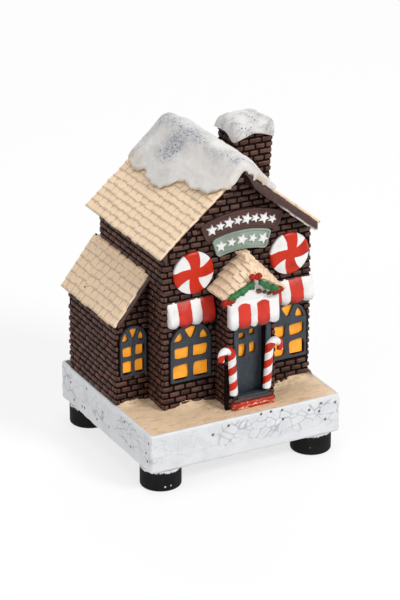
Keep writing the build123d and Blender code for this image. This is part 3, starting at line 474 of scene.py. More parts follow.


# Painted glow: the amber film gives off a little light of its own colour so it stays bright behind the
# frames.
@as_finish("amber film", Roughness=0.4, Emission_Strength=0.25)
def amber_finish(tree, shader):
    broad = cloud(tree, placed(tree), 140.0, 3.0)
    main, deep = paint("amber"), paint("amber_dark")
    hand = painted(tree, main, deep, shaded(main, 1.25), 120.0, 0.3)
    shade = times(tree, ramp(tree, broad, 0.5, 0.7), 0.45)
    tint = mixed(tree, shade, hand["Colour"], deep)
    tree.links.new(tint, shader["Emission Color"])
    link(tree, shader, tint, hand["Height"], 0.06 * MM)


def striped_finish(name, tone, roughness):
    """Red over white where the mesh's own stripe value is above nothing, with a hand-painted edge. Towards
    the lower edge, where the mesh's "low" value rises, both colours darken as painted shade; elsewhere the
    red is a lighter copy of its paint.
    """

    def build(tree, shader):
        place = placed(tree)
        main, pale = paint(tone), paint("white")
        wobble = times(tree, cloud(tree, place, 500.0, 3.0), 0.5)
        edge = worked(tree, "ADD", stored(tree, "stripe"), worked(tree, "SUBTRACT", wobble, 0.25))
        mask = ramp(tree, edge, -0.06, 0.06)
        # Painted light: a lighter red at the top, and a darker red and greyer white towards the lower edge
        # where the awning turns under.
        low = stored(tree, "low")
        red_lit_to_shaded = mixed(tree, low, shaded(main, 1.12), shaded(main, 0.62))
        red = painted(tree, red_lit_to_shaded, shaded(main, 0.66), shaded(main, 1.3), 170.0, 0.25)
        under = mixed(tree, low, pale, shaded(pale, 0.74))
        white = painted(tree, under, shaded(pale, 0.84), shaded(pale, 1.05), 150.0, 0.4)
        tint = mixed(tree, mask, white["Colour"], red["Colour"])
        link(tree, shader, tint, white["Height"], 0.1 * MM)

    return material(name, build, Roughness=roughness, Specular_IOR_Level=0.3)


def awning_finish():
    return striped_finish("awning paint", "awning_red", 0.42)


def candy_finish():
    return striped_finish("candy paint", "red", 0.38)


def toned_finish(name, tone, factors, patch, rub, depth, **constants):
    """A plain finish whose main, darker and lighter tones are one paint times three factors."""
    main, dark, light = (shaded(paint(tone), factor) for factor in factors)
    return plain_finish(name, main, dark, light, patch, rub, depth, **constants)


def white_finish():
    return toned_finish("white paint", "white", (1.0, 0.85, 1.1), 150.0, 0.4, 0.1 * MM, Roughness=0.45)


def red_finish():
    return toned_finish(
        "bow red", "red", (0.75, 0.1875, 1.05), 330.0, 0.3, 0.2 * MM, Roughness=0.45, Specular_IOR_Level=0.2
    )


def green_finish():
    return toned_finish("garland green", "green", (0.75, 0.2, 1.7), 330.0, 0.4, 0.4 * MM, Roughness=0.4)


def twig_finish():
    main, gold = paint("twig"), srgb(196, 140, 52)
    return plain_finish("twig brown", main, shaded(main, 0.2), gold, 420.0, 0.7, 0.2 * MM, Roughness=0.5)


def brown_sign_finish():
    return toned_finish("sign brown", "sign_brown", (1.0, 0.6, 1.9), 220.0, 0.35, 0.12 * MM)


def green_sign_finish():
    return toned_finish("sign green", "sign_green", (1.0, 0.75, 1.25), 160.0, 0.4, 0.12 * MM)


@as_finish("step red")
def step_finish(tree, shader):
    place = placed(tree, (1.0, 1.0, 3.0))
    scratch = cloud(tree, place, 380.0, 5.0, 0.75)
    main = paint("red")
    hand = brushed(tree, main, 0.55, 1.3, 240.0, 0.3)
    tint = mixed(tree, ramp(tree, scratch, 0.53, 0.64), hand["Colour"], paint("shingle"))
    link(tree, shader, tint, hand["Height"], 0.15 * MM, hand["Roughness"])


@as_finish("verge paint", Roughness=0.45)
def verge_finish(tree, shader):
    main = paint("board")
    hand = painted(tree, shaded(main, 0.72), shaded(main, 0.3), paint("brick_worn"), 170.0, 0.5)
    ragged = cloud(tree, placed(tree), 380.0, 4.0, 0.7)
    dust = times(tree, stored(tree, "dust"), ramp(tree, ragged, 0.34, 0.5))
    tint = mixed(tree, dust, hand["Colour"], paint("snow"))
    link(tree, shader, tint, hand["Height"], 0.25 * MM)


def plastic_finish(name, main, roughness):
    """Moulded plastic with a fine spark-eroded grain."""

    def build(tree, shader):
        grain = cloud(tree, placed(tree), 2400.0, 2.0)
        hand = brushed(tree, main, 0.93, 1.04, 60.0, 0.15)
        link(tree, shader, hand["Colour"], grain, 0.02 * MM)

    return material(name, build, Roughness=roughness)


def metal_finish(name, main, roughness):
    """Bare metal with fine turned or rolled marks."""

    def build(tree, shader):
        marks = cloud(tree, placed(tree, (1.0, 12.0, 1.0)), 300.0, 4.0)
        hand = brushed(tree, main, 0.75, 1.15, 180.0, 0.3)
        link(tree, shader, hand["Colour"], marks, 0.01 * MM)

    return material(name, build, Roughness=roughness, Metallic=1.0)


# Mesh helpers


def piece(bm, name, finishes, replaced=(), body="house", smooth=True):
    """Turns a finished bmesh into a piece that rides on a body and stands for its CAD nodes."""
    outward(bm)
    mesh = bpy.data.meshes.new(name)
    bm.to_mesh(mesh)
    bm.free()
    for finish in finishes:
        mesh.materials.append(finish)
    mesh.polygons.foreach_set("use_smooth", [smooth] * len(mesh.polygons))
    made = bpy.data.objects.new(name, mesh)
    bpy.context.scene.collection.objects.link(made)
    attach(made, body)
    if replaced:
        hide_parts(*replaced)
    return made


def dressed(bm, node, ending, finish):
    """The piece that stands for one CAD node and is named after it."""
    return piece(bm, node + "_" + ending, [finish], [node])


def repaint(finish, *nodes):
    """Gives CAD nodes that keep their shape a better finish."""
    for node in nodes:
        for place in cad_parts[node].material_slots:
            place.material = finish


def on_front(x, y, z):
    """Places local right, up and outwards on an upright face that looks to the front."""
    return Matrix.Translation((x, y, z)) @ TO_FRONT


def rounded(bm, edges, width, segments):
    """Rounds edges and returns the new faces."""
    made = bmesh.ops.bevel(
        bm, geom=edges, offset=width, offset_type="OFFSET", segments=segments, profile=0.5,
        affect="EDGES", clamp_overlap=True, material=-1,
    )
    return made["faces"]


def only(items, kind):
    """The items of one kind, such as vertices."""
    return [item for item in items if isinstance(item, kind)]


def grown(bm, faces):
    """Extrudes faces into a closed solid and returns the new vertices."""
    made = bmesh.ops.extrude_face_region(bm, geom=faces, use_keep_orig=True)
    return only(made["geom"], bmesh.types.BMVert)


def raised(bm, depth):
    """Turns flat faces into a closed plate of that depth."""
    for vert in grown(bm, bm.faces[:]):
        vert.co.z += depth


def plate(bm, outline):
    """A flat face with that outline."""
    return bm.faces.new([bm.verts.new((x, y, 0.0)) for x, y in outline])


def add_box(bm, at, size, turn=Matrix()):
    """Adds a box of that size, turned about its middle, and returns its vertices."""
    place = Matrix.Translation(at) @ turn @ Matrix.Diagonal((*size, 1.0))
    return bmesh.ops.create_cube(bm, size=1.0, matrix=place)["verts"]


def pulled(bm, edges):
    """Extrudes an open ring of edges and returns the new vertices and the new ring."""
    made = bmesh.ops.extrude_edge_only(bm, edges=edges)["geom"]
    verts = only(made, bmesh.types.BMVert)
    fresh = set(verts)
    return verts, [edge for edge in only(made, bmesh.types.BMEdge) if fresh.issuperset(edge.verts)]


def open_edges(bm):
    return [edge for edge in bm.edges if len(edge.link_faces) == 1]


def upper_edges(bm, height):
    """The edges that lie wholly above a height."""
    return [edge for edge in bm.edges if min(vert.co.z for vert in edge.verts) > height]


def capped(bm):
    """Closes open ends."""
    bmesh.ops.holes_fill(bm, edges=open_edges(bm), sides=0)


def outward(bm):
    """Turns all faces outwards."""
    bmesh.ops.recalc_face_normals(bm, faces=bm.faces[:])


def kept(bm, *names):
    """New values kept on the vertices, nothing at first."""
    return [bm.verts.layers.float.new(name) for name in names]


def flatten(made, limit=35.0):
    """Keeps flat faces flat and rounds only the soft edges."""
    made.data.set_sharp_from_angle(angle=math.radians(limit))


def sheet(columns, rows, *names):
    """A grid from -0.5 to 0.5 made into a closed double sheet, its upper vertices and new values on them."""
    bm = bmesh.new()
    bmesh.ops.create_grid(bm, x_segments=columns, y_segments=rows, size=0.5)
    values = kept(bm, *names)
    return bm, set(grown(bm, bm.faces[:])), values


def tube(bm, segments, places):
    """Sweeps a ring through places, given as matrices, closes its ends and returns each ring's vertices."""
    rings = [bmesh.ops.create_circle(bm, segments=segments, radius=1.0, matrix=places[0])["verts"]]
    edges = bm.edges[:]
    for before, now in zip(places, places[1:]):
        verts, edges = pulled(bm, edges)
        bmesh.ops.transform(bm, matrix=now @ before.inverted(), verts=verts)
        rings.append(verts)
    capped(bm)
    return rings


def smoothed(bm, factor):
    """Draws every vertex towards its neighbours."""
    axes = {"use_axis_x": True, "use_axis_y": True, "use_axis_z": True}
    bmesh.ops.smooth_vert(bm, verts=bm.verts[:], factor=factor, **axes)


def askew(rng, limits, lift=0.0):
    """A small random turn about each axis, within its limit, with a lift about the first one."""
    first, second, third = (rng.uniform(-limit, limit) for limit in limits)
    return Euler((first - lift, second, third)).to_matrix().to_4x4()


def smooth_step(value, low, high):
    share = min(1.0, max(0.0, (value - low) / (high - low)))
    return share * share * (3 - 2 * share)


def along_points(points, value):
    """A smooth line through (place, height) points, read at value."""
    if value <= points[0][0]:
        return points[0][1]
    for (x0, y0), (x1, y1) in zip(points, points[1:]):
        if value <= x1:
            return y0 + (y1 - y0) * smooth_step(value, x0, x1)
    return points[-1][1]


# Bricks

# Near-black blocks laid down the bay's left front corner as painted shade: their number and size.
SHADE_BLOCK_COUNT, SHADE_BLOCK_SIZE = 9, Vector((1.5, 1.6, 2.0)) * MM
STACK_TAPER, STACK_CUT = 1.5 * MM, 2.4 * MM


def without(spans, start, end):
    """Spans with one gap taken out."""
    rest = []
    for low, high in spans:
        if end <= low or start >= high:
            rest.append((low, high))
            continue
        if low < start:
            rest.append((low, start))
        if high > end:
            rest.append((end, high))
    return rest


def arch_half(box, rise, z):
    """Half the width of an arched frame at height z, or nothing above or below it."""
    low, high = box
    half = (high.x - low.x) / 2
    if z < low.z or z > high.z:
        return 0.0
    if z < high.z - rise:
        return half
    radius = (half * half + rise * rise) / (2 * rise)
    return math.sqrt(max(0.0, radius * radius - (z - high.z + radius) ** 2))


def lay_wall(bm, origin, along, out, rows, spans, rng, grey_tone_and_shade):
    """Lays brick rows on one wall. spans gives, for a height and row, the stretches that have bricks. The
    last value is kept on every brick's faces as "front": above nothing it makes the bricks greyer, below
    nothing it darkens them as painted shade.
    """
    size = sizes()
    course, long, joint = size.brick_course, size.brick_length, size.brick_joint
    shade = bm.faces.layers.float.get("shade") or bm.faces.layers.float.new("shade")
    front = bm.faces.layers.float.get("front") or bm.faces.layers.float.new("front")
    turn = Matrix((along, UP, out)).transposed().to_4x4()
    depth = 2 * size.brick_proud
    for row in range(rows):
        z = origin.z + (row + 0.5) * course
        shift = (0.5 * (row % 2) + rng.uniform(-0.1, 0.1)) * long
        for start, end in spans(z, row):
            left = start
            cell = math.floor((start - shift) / long) + 1
            while end - left > 2 * joint:
                right = shift + cell * long + rng.uniform(-0.09, 0.09) * long
                cell += 1
                if right - left < 0.3 * long:
                    continue
                if end - right < 0.3 * long:
                    right = end
                centre = origin + along * ((left + right) / 2) + out * rng.uniform(-0.09, 0.07) * MM
                centre.z = z + rng.uniform(-0.06, 0.06) * MM
                tilt = askew(rng, (0.03, 0.03, 0.03))
                made = add_box(bm, centre, (right - left - joint, course - joint, depth), turn @ tilt)
                value = rng.random()
                for vert in made:
                    for face in vert.link_faces:
                        face[shade] = value
                        face[front] = grey_tone_and_shade
                left = right


def bricks_piece(bm, name):
    """Rounds the bricks' edges, marks them as worn and makes the piece."""
    worn = bm.faces.layers.float.new("worn")
    for face in rounded(bm, bm.edges[:], sizes().brick_bevel, 1):
        face[worn] = 1.0
    for vert in bm.verts:
        vert.co += noise.noise_vector(vert.co / (1.3 * MM)) * 0.13 * MM
    return piece(bm, name, [brick_finish()])


def row_count(low, high):
    return math.ceil((high - low) / sizes().brick_course)


def toothed(row, odd):
    """How far a row runs past a corner, where the rows of two walls take turns."""
    return sizes().brick_proud if row % 2 == odd else 0.0


def beside_window(spans, box, rise, z, margin):
    """Spans with an arched window's width at height z taken out."""
    half = arch_half(box, rise, z)
    if half <= 0:
        return spans
    middle = (box[0].x + box[1].x) / 2
    return without(spans, middle - half - margin, middle + half + margin)


def lay_walls(bm, box, rng, walls):
    """Lays walls on a box, each given by its side, its spans and a tone value: above nothing the bricks are
    greyer, below nothing they are darkened as painted shade.
    """
    low, high = box
    places = {
        "front": (Vector((0, low.y, low.z)), ALONG_X, -ALONG_Y),
        "back": (Vector((0, high.y, low.z)), ALONG_X, ALONG_Y),
        "left": (Vector((low.x, 0, low.z)), ALONG_Y, -ALONG_X),
        "right": (Vector((high.x, 0, low.z)), ALONG_Y, ALONG_X),
    }
    for side, spans, grey_tone_and_shade in walls:
        lay_wall(bm, *places[side], row_count(low.z, high.z), spans, rng, grey_tone_and_shade)


def lay_house_bricks():
    """The main house: front with its windows, both sides, the back and the left verge."""
    size = sizes()
    rng = random.Random(11)
    low, high = HOUSE
    slope = math.tan(size.roof_pitch)
    margin = 0.35 * MM
    eave = high.z - (high.x - low.x) / 2 * slope
    frames = [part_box("window_frame_left"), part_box("window_frame_right")]
    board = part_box("roof_board")

    def gable(z, overhang):
        half = min((high.x - low.x) / 2 + overhang, (high.z - z) / slope + margin)
        return [(HOUSE_X - half, HOUSE_X + half)] if half > 0 else []

    def front(z, row):
        spans = gable(z, toothed(row, 1))
        covered = min((BAY[1].x - BAY[0].x) / 2, (BAY[1].z - z) / math.tan(size.porch_pitch)) - margin
        if covered > 0:
            spans = without(spans, FRONT_X - covered, FRONT_X + covered)
        for box in frames:
            spans = beside_window(spans, box, size.window_arch, z, margin)
        return spans

    def back(z, row):
        return gable(z, toothed(row, 0))

    def left_verge(z, row):
        outer = max(board[0].x, HOUSE_X - (board[1].z - z) / slope)
        inner = HOUSE_X - max(0.0, high.z - z) / slope
        return [(outer + margin, inner)] if z < board[1].z - MM and inner > outer + MM else []

    def side(z, row):
        reach = toothed(row, 0)
        return [(low.y - reach, high.y + reach)] if z < eave else []

    def left(z, row):
        end = high.y if z > WING[1].z else WING[0].y
        return [(low.y - toothed(row, 0), end)] if z < eave else []

    bm = bmesh.new()
    # The left wall's -0.25 darkens its bricks as painted shade on the side that faces away from the key
    # light.
    walls = (("front", front, 0.8), ("back", back, 0.0), ("right", side, 0.0), ("left", left, -0.25))
    lay_walls(bm, HOUSE, rng, walls)
    tall = row_count(low.z, board[1].z)
    lay_wall(bm, Vector((0, board[0].y, low.z)), ALONG_X, -ALONG_Y, tall, left_verge, rng, 0.4)
    bricks_piece(bm, "house_bricks")


def lay_wing_bricks():
    """The lean-to wing: front with its window, long side and back. Its long side, and the top of its front
    under the verge, are darkened as painted shade.
    """
    size = sizes()
    rng = random.Random(12)
    low, high = WING
    slope = math.tan(size.wing_pitch)
    margin = 0.3 * MM
    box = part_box("window_frame_wing")
    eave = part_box("wing_roof_tiles")[0].z + 0.4 * MM

    def end(z, reach):
        start = max(low.x - reach, high.x - (high.z - z) / slope)
        return [(start, high.x)] if start < high.x - margin else []

    def front(z, row):
        return beside_window(end(z, toothed(row, 1)), box, size.wing_arch, z, margin)

    def back(z, row):
        return end(z, toothed(row, 0))

    def side(z, row):
        reach = toothed(row, 0)
        return [(low.y - reach, high.y + reach)] if z < eave else []

    bm = bmesh.new()
    # The long side's -0.25 is painted shade; below, the front's bricks darken upwards from the eave as
    # painted shade under the verge.
    lay_walls(bm, WING, rng, (("front", front, 0.0), ("back", back, 0.0), ("left", side, -0.25)))
    front_shade = bm.faces.layers.float["front"]
    for face in bm.faces:
        spot = face.calc_center_median()
        if spot.y < low.y + MM:
            face[front_shade] = -0.75 * smooth_step(spot.z, eave - 2.0 * MM, eave + 8.0 * MM)
    bricks_piece(bm, "wing_bricks")


def lay_bay_bricks():
    """The entrance bay: two cheeks, the piers beside the door trim and a strip of near-black blocks at the
    left corner as painted shade; the left cheek is darkened as painted shade too.
    """
    rng = random.Random(13)
    low, high = BAY
    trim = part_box("door_trim")
    slope = math.tan(sizes().porch_pitch)
    cheek_top = high.z - (high.x - low.x) / 2 * slope + MM

    def cheek(z, row):
        return [(low.y - toothed(row, 0), high.y)] if z < cheek_top else []

    def front(z, row):
        reach = toothed(row, 1)
        spans = [(low.x - reach, high.x + reach)]
        if z > cheek_top:
            return []
        return without(spans, trim[0].x, trim[1].x) if z < trim[1].z else spans

    bm = bmesh.new()
    lay_walls(bm, BAY, rng, (("front", front, 0.0), ("left", cheek, -0.45), ("right", cheek, 0.0)))
    # Painted shade: near-black blocks down the left front corner, in the mortar colour.
    for i in range(SHADE_BLOCK_COUNT):
        at = Vector((low.x - 0.75 * MM, low.y + 0.5 * MM, low.z + (i + 0.5) * SHADE_BLOCK_SIZE.z))
        for vert in add_box(bm, at, SHADE_BLOCK_SIZE):
            for face in vert.link_faces:
                face.material_index = 1
    bricks_piece(bm, "bay_bricks").data.materials.append(mortar_and_shade_finish())


def stack_shape(bm):
    """Draws the stack in a little towards its foot and at its back."""
    low, high = STACK
    for vert in bm.verts:
        drop = (high.z - vert.co.z) / (high.z - low.z)
        vert.co.x -= STACK_TAPER * drop * (vert.co.x - low.x) / (high.x - low.x)
        vert.co.y -= STACK_CUT * (vert.co.y - low.y) / (high.y - low.y)


def lay_chimney_bricks():
    """The stack's four faces, down to the roof, with the left face and the rows under the cap darkened as
    painted shade.
    """
    rng = random.Random(14)
    low, high = STACK
    slope = math.tan(sizes().roof_pitch)
    margin = 1.0 * MM

    def across(z, row):
        reach = toothed(row, 1)
        start = max(low.x, high.x - (z - low.z + margin) / slope)
        return [(start - reach, high.x + reach)] if start < high.x else []

    def deep(z, row):
        reach = toothed(row, 0)
        return [(low.y - reach, high.y + reach)]

    def deep_left(z, row):
        return deep(z, row) if z > low.z + (high.x - low.x) * slope - margin else []

    bm = bmesh.new()
    # The left face's -0.85 is painted shade.
    walls = (("front", across, 0.8), ("back", across, 0.0), ("right", deep, 0.0), ("left", deep_left, -0.85))
    lay_walls(bm, STACK, rng, walls)
    # Painted shade under the snow cap: the top rows darken towards it.
    front_shade = bm.faces.layers.float["front"]
    for face in bm.faces:
        under = smooth_step(face.calc_center_median().z, high.z - 3.4 * MM, high.z - 0.6 * MM)
        if under > 0:
            face[front_shade] = min(face[front_shade], -0.8 * under)
    stack_shape(bm)
    bricks_piece(bm, "chimney_bricks")
    bm = bmesh.new()
    add_box(bm, (low + high) / 2, high - low)
    roof = (math.sin(sizes().roof_pitch), 0.0, math.cos(sizes().roof_pitch))
    everything = bm.verts[:] + bm.edges[:] + bm.faces[:]
    foot = (high.x, high.y, low.z)
    bmesh.ops.bisect_plane(bm, geom=everything, dist=1e-7, plane_co=foot, plane_no=roof, clear_inner=True)
    capped(bm)
    stack_shape(bm)
    piece(bm, "chimney_core", [mortar_and_shade_finish()], ["chimney"], smooth=False)


# Roofs

SHINGLE_GAP, PORCH_LIFT = 0.32 * MM, 0.16


def lay_slope(name, node, ridge_x, top, pitch, depth, course, width, nose, seed, tilted=1.0):
    """Covers one slope with overlapping shingles on a thin sheet, in place of its CAD tile layer."""
    rng = random.Random(seed)
    low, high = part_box(node)
    left = ridge_x > low.x + MM
    eave_x = low.x if left else high.x
    sign = -1.0 if left else 1.0
    down = Vector((sign * math.cos(pitch), 0.0, -math.sin(pitch)))
    out = Vector((sign * math.sin(pitch), 0.0, math.cos(pitch)))
    along = out.cross(down)
    reach = abs(eave_x - ridge_x) / math.cos(pitch)
    ridge = Vector((ridge_x, 0.0, top - depth / math.cos(pitch)))
    bm = bmesh.new()
    shade, tip = kept(bm, "shade", "nose")
    turn = Matrix((along, -down, out)).transposed().to_4x4()
    deep = high.y - low.y
    middle_y = (low.y + high.y) / 2
    sheet = 0.45 * depth
    centre = ridge + down * (reach / 2) + out * (sheet / 2)
    centre.y = middle_y
    inset = 0.5 * MM
    add_box(bm, centre - down * inset / 2, (deep - 2 * inset, reach - inset, sheet), turn)
    count = max(1, round(reach / course))
    rise = reach / count
    long = 1.5 * rise
    lift = math.asin((depth - nose - 0.25 * depth) / long) * tilted
    for row in range(count):
        foot = reach - row * rise + rng.uniform(-0.12, 0.12) * MM
        cell = -deep / 2 - (0.5 * (row % 2) + rng.uniform(0.0, 0.15)) * width
        while cell < deep / 2 - 0.15 * width:
            wide = width * rng.uniform(0.9, 1.1)
            start, end = max(cell, -deep / 2), min(cell + wide, deep / 2)
            cell += wide
            if end - start < 0.22 * width:
                continue
            if start <= -deep / 2:
                start += rng.uniform(-0.15, 0.35) * MM
            if end >= deep / 2:
                end -= rng.uniform(-0.15, 0.35) * MM
            tail = foot + rng.uniform(-0.35, 0.2) * MM
            head = max(tail - long, 0.0)
            thick = nose * rng.uniform(0.9, 1.12)
            at = ridge + down * ((head + tail) / 2) + along * ((start + end) / 2)
            at.y += middle_y
            at += out * 0.56 * depth
            tilt = askew(rng, (0.02, 0.04, 0.03), lift)
            made = add_box(bm, at, (end - start - SHINGLE_GAP, tail - head, thick), turn @ tilt)
            value = rng.random()
            for vert in made:
                vert[shade] = value
                # A "nose" of one marks the lower step faces that are painted grey as shade; the side faces
                # get 0.45, too little for that grey to show.
                vert[tip] = 1.0 if (vert.co - at).dot(down) > 0 else 0.0
                if vert.co.y < at.y:
                    vert[tip] = max(vert[tip], 0.45)
    rounded(bm, bm.edges[:], 0.14 * MM, 1)
    flatten(piece(bm, name, [shingle_finish()], [node]), 25.0)


def verge(name, start, end, tall, front, tapered, pale_edge_share):
    """A rounded moulding down a verge between two (x, z) places, paler in the snow colour along its lower
    edge.
    """
    bm, upper, (dust,) = sheet(90, 12, "dust")
    for vert in bm.verts:
        a, b = vert.co.x + 0.5, vert.co.y + 0.5
        x = start[0] + (end[0] - start[0]) * a
        wave = noise.noise((a * 14.0, 3.0, start[0] * 90.0)) * 0.4 * MM
        wave += noise.noise((a * 45.0, 9.0, 0.0)) * 0.15 * MM
        high = tall * (1.0 - tapered * smooth_step(a, 0.16, 0.0)) * (1.0 - 0.35 * smooth_step(a, 0.95, 1.0))
        z = start[1] + (end[1] - start[1]) * a - high * (1 - b) + wave * (1 - b)
        round_over = math.sin(math.pi * min(1.0, max(0.0, b))) ** 0.6
        end_round = 1.0 - 0.7 * smooth_step(a, 0.97, 1.0) - 0.9 * smooth_step(a, 0.03, 0.0)
        out = (0.25 * MM + 0.55 * MM * round_over) * end_round
        out += noise.noise((a * 40.0, b * 3.0, 1.0)) * 0.12 * MM
        vert.co = Vector((x, front + (-out if vert in upper else 0.4 * MM), z))
        stretch = smooth_step(a, 0.42, 0.6) * smooth_step(a, 1.0, 0.93)
        vert[dust] = pale_edge_share * smooth_step(b, 0.24, 0.1) * stretch
    piece(bm, "verge_" + name, [verge_finish()])


def roof_boards():
    """The main roof's board, cut square and rounded at its right eave, and its right verge moulding."""
    low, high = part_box("roof_board")
    pitch = sizes().roof_pitch
    slope = math.tan(pitch)
    rise = high.z - HOUSE[1].z
    thick = rise * math.cos(pitch)
    right = high.x - 0.5 * MM
    right_top = high.z - (right - HOUSE_X) * slope
    left_top = high.z - (HOUSE_X - low.x) * slope
    outline = [
        (low.x, left_top - rise), (HOUSE_X, HOUSE[1].z),
        (right - thick * math.sin(pitch), right_top - thick * math.cos(pitch)), (right, right_top),
        (HOUSE_X, high.z), (low.x, left_top),
    ]
    bm = bmesh.new()
    deep = high.y - low.y
    plate(bm, outline)
    raised(bm, deep)
    outward(bm)
    brim = right - thick * math.sin(pitch) - 0.1 * MM
    ends = [e for e in bm.edges if all(v.co.x > brim for v in e.verts) and e.calc_length() > deep - MM]
    rounded(bm, ends, 1.1 * MM, 4)
    for face in bm.faces:
        face.material_index = 1 if face.calc_center_median().z > deep - 0.01 * MM else 0
    bm.transform(on_front(0.0, high.y, 0.0))
    finishes = [board_finish(), mortar_and_shade_finish()]
    flatten(piece(bm, "roof_board_painted", finishes, ["roof_board"]))
    verge("right", (HOUSE_X, high.z), (right, right_top), rise * 1.02, low.y, 0.75, 1.0)


def wing_verge():
    """The dark moulding under the wing roof's front edge."""
    low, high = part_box("wing_roof_board")
    slope = math.tan(sizes().wing_pitch)
    tall = (high.z - WING[1].z) * 0.85
    verge("wing", (high.x, high.z), (low.x, high.z - (high.x - low.x) * slope), tall, low.y, 0.0, 0.0)


def wing_flashing():
    """Ragged cream chips where the wing's roof meets the house, over a dark gap."""
    rng = random.Random(46)
    low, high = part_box("wing_roof_tiles")
    bm = bmesh.new()
    shade, _ = kept(bm, "shade", "nose")
    y = low.y + 3.0 * MM
    while y < high.y - 5.0 * MM:
        long = rng.uniform(1.6, 4.6) * MM
        at = Vector((high.x - 0.9 * MM, y + long / 2, high.z - rng.uniform(1.5, 2.1) * MM))
        tilt = Euler((rng.uniform(-0.12, 0.12), -0.5, 0.0)).to_matrix().to_4x4()
        body = (rng.uniform(1.1, 1.8) * MM, long, rng.uniform(0.6, 1.1) * MM)
        made = add_box(bm, at, body, tilt)
        value = rng.random()
        for vert in made:
            vert[shade] = value
        y += long + rng.choice((0.2, 0.4, 1.4, 2.6)) * MM
    rounded(bm, bm.edges[:], 0.2 * MM, 2)
    for vert in bm.verts:
        vert.co += noise.noise_vector(vert.co / (0.9 * MM)) * 0.15 * MM
    piece(bm, "wing_flashing", [shingle_finish()])


def porch_surface(side):
    """The porch roof on one side: a place for a share back to the wall and a share down to the eave."""
    low, high = PORCH
    front, wall, eave = low.y, high.y, low.z + 2.2 * MM

    def at(back, down):
        climb = math.sin(min(1.0, back / 0.58) * math.pi / 2)
        ridge = high.z - (6.0 - 6.9 * climb) * MM - 1.3 * MM * smooth_step(back, 0.6, 1.0)
        half = (12.9 + 0.6 * back) * MM
        z = ridge + (eave - ridge) * down + 0.7 * MM * math.sin(math.pi * down)
        return Vector((FRONT_X + side * half * down, front + (wall - front) * back, z))

    return at


def porch_axes(at, back, down):
    """The directions along, down and out of the porch roof at a place."""
    step = 0.01
    fall = (at(back, down + step) - at(back, down - step)).normalized()
    run = at(back + step, down) - at(back - step, down)
    out = fall.cross(run).normalized()
    if out.z < 0:
        out = -out
    return out.cross(fall), fall, out


def porch_roof(name, side, seed):
    """One side of the porch roof: small ragged shingles that climb with the ridge to the wall."""
    rng = random.Random(seed)
    at = porch_surface(side)
    bm, upper, (shade, tip) = sheet(24, 20, "shade", "nose")
    for vert in bm.verts:
        back, down = vert.co.x + 0.5, vert.co.y + 0.5
        out = porch_axes(at, back, down)[2]
        vert.co = at(back, down) - out * (0.7 if vert in upper else 1.7) * MM
    size = sizes()
    reach = (at(0.5, 1.0) - at(0.5, 0.0)).length
    deep = PORCH[1].y - PORCH[0].y
    count = round(reach / size.porch_course)
    wide = size.porch_width / deep
    thick = 0.95 * MM
    for row in range(count + 1):
        foot = 1.0 - row / count
        cell = -wide * (0.5 * (row % 2) + rng.uniform(0.0, 0.2))
        while cell < 1.0 - 0.3 * wide:
            start = max(cell, rng.uniform(-0.03, 0.02))
            end = min(cell + wide * rng.uniform(0.85, 1.15), 1.0)
            cell = end
            if end - start < 0.3 * wide:
                continue
            tail = foot + rng.uniform(-0.012, 0.012)
            head = max(tail - 1.5 / count, -0.05)
            if tail - head < 0.06:
                head = tail - 0.1
            middle_back, middle = (start + end) / 2, (head + tail) / 2
            along, fall, out = porch_axes(at, middle_back, middle)
            turn = Matrix((along, -fall, out)).transposed().to_4x4()
            long = (at(middle_back, tail) - at(middle_back, head)).length
            broad = (at(end, middle) - at(start, middle)).length
            tilt = askew(rng, (0.03, 0.05, 0.05), PORCH_LIFT)
            body = (broad - 0.15 * MM, long, thick * rng.uniform(0.8, 1.2))
            spot = at(middle_back, middle) - out * 0.3 * MM
            made = add_box(bm, spot, body, turn @ tilt)
            value = rng.random()
            for vert in made:
                vert[shade] = value
                # A "nose" of one marks the lower step faces that are painted grey as shade.
                vert[tip] = 1.0 if (vert.co - spot).dot(fall) > 0 else 0.0
    rounded(bm, [e for e in bm.edges if e.calc_face_angle(0.0) > 0.8], 0.14 * MM, 1)
    flatten(dressed(bm, name, "shingled", shingle_finish()), 25.0)


# Snow

# Edges of the ridge snow in millimetres: place towards the front, reach down the slope
SNOW_EDGE_LEFT = (
    (-36.6, 18.5), (-34.0, 22.5), (-30.0, 24.0), (-25.0, 24.5), (-20.0, 22.0), (-15.0, 24.6),
    (-10.0, 25.2), (-6.0, 25.0), (-2.0, 22.4), (1.0, 18.6), (5.0, 17.6), (10.0, 18.2), (15.0, 17.2),
    (20.0, 16.6), (23.0, 14.2), (25.0, 11.8), (26.6, 10.6),
)
SNOW_EDGE_RIGHT = (
    (-36.6, 12.0), (-31.0, 15.0), (-26.0, 13.0), (-20.0, 11.6), (-8.0, 11.4), (2.0, 11.6), (6.0, 14.8),
    (11.0, 12.6), (16.0, 16.4), (21.0, 15.0), (26.6, 16.5),
)
# Drips of its front lip in millimetres: place across the ridge, half width, length
SNOW_DRIPS = ((-12.9, 0.7, 2.6), (-9.6, 0.5, 0.9), (6.3, 0.6, 1.8), (2.6, 0.5, 0.7), (11.0, 0.8, 0.8))


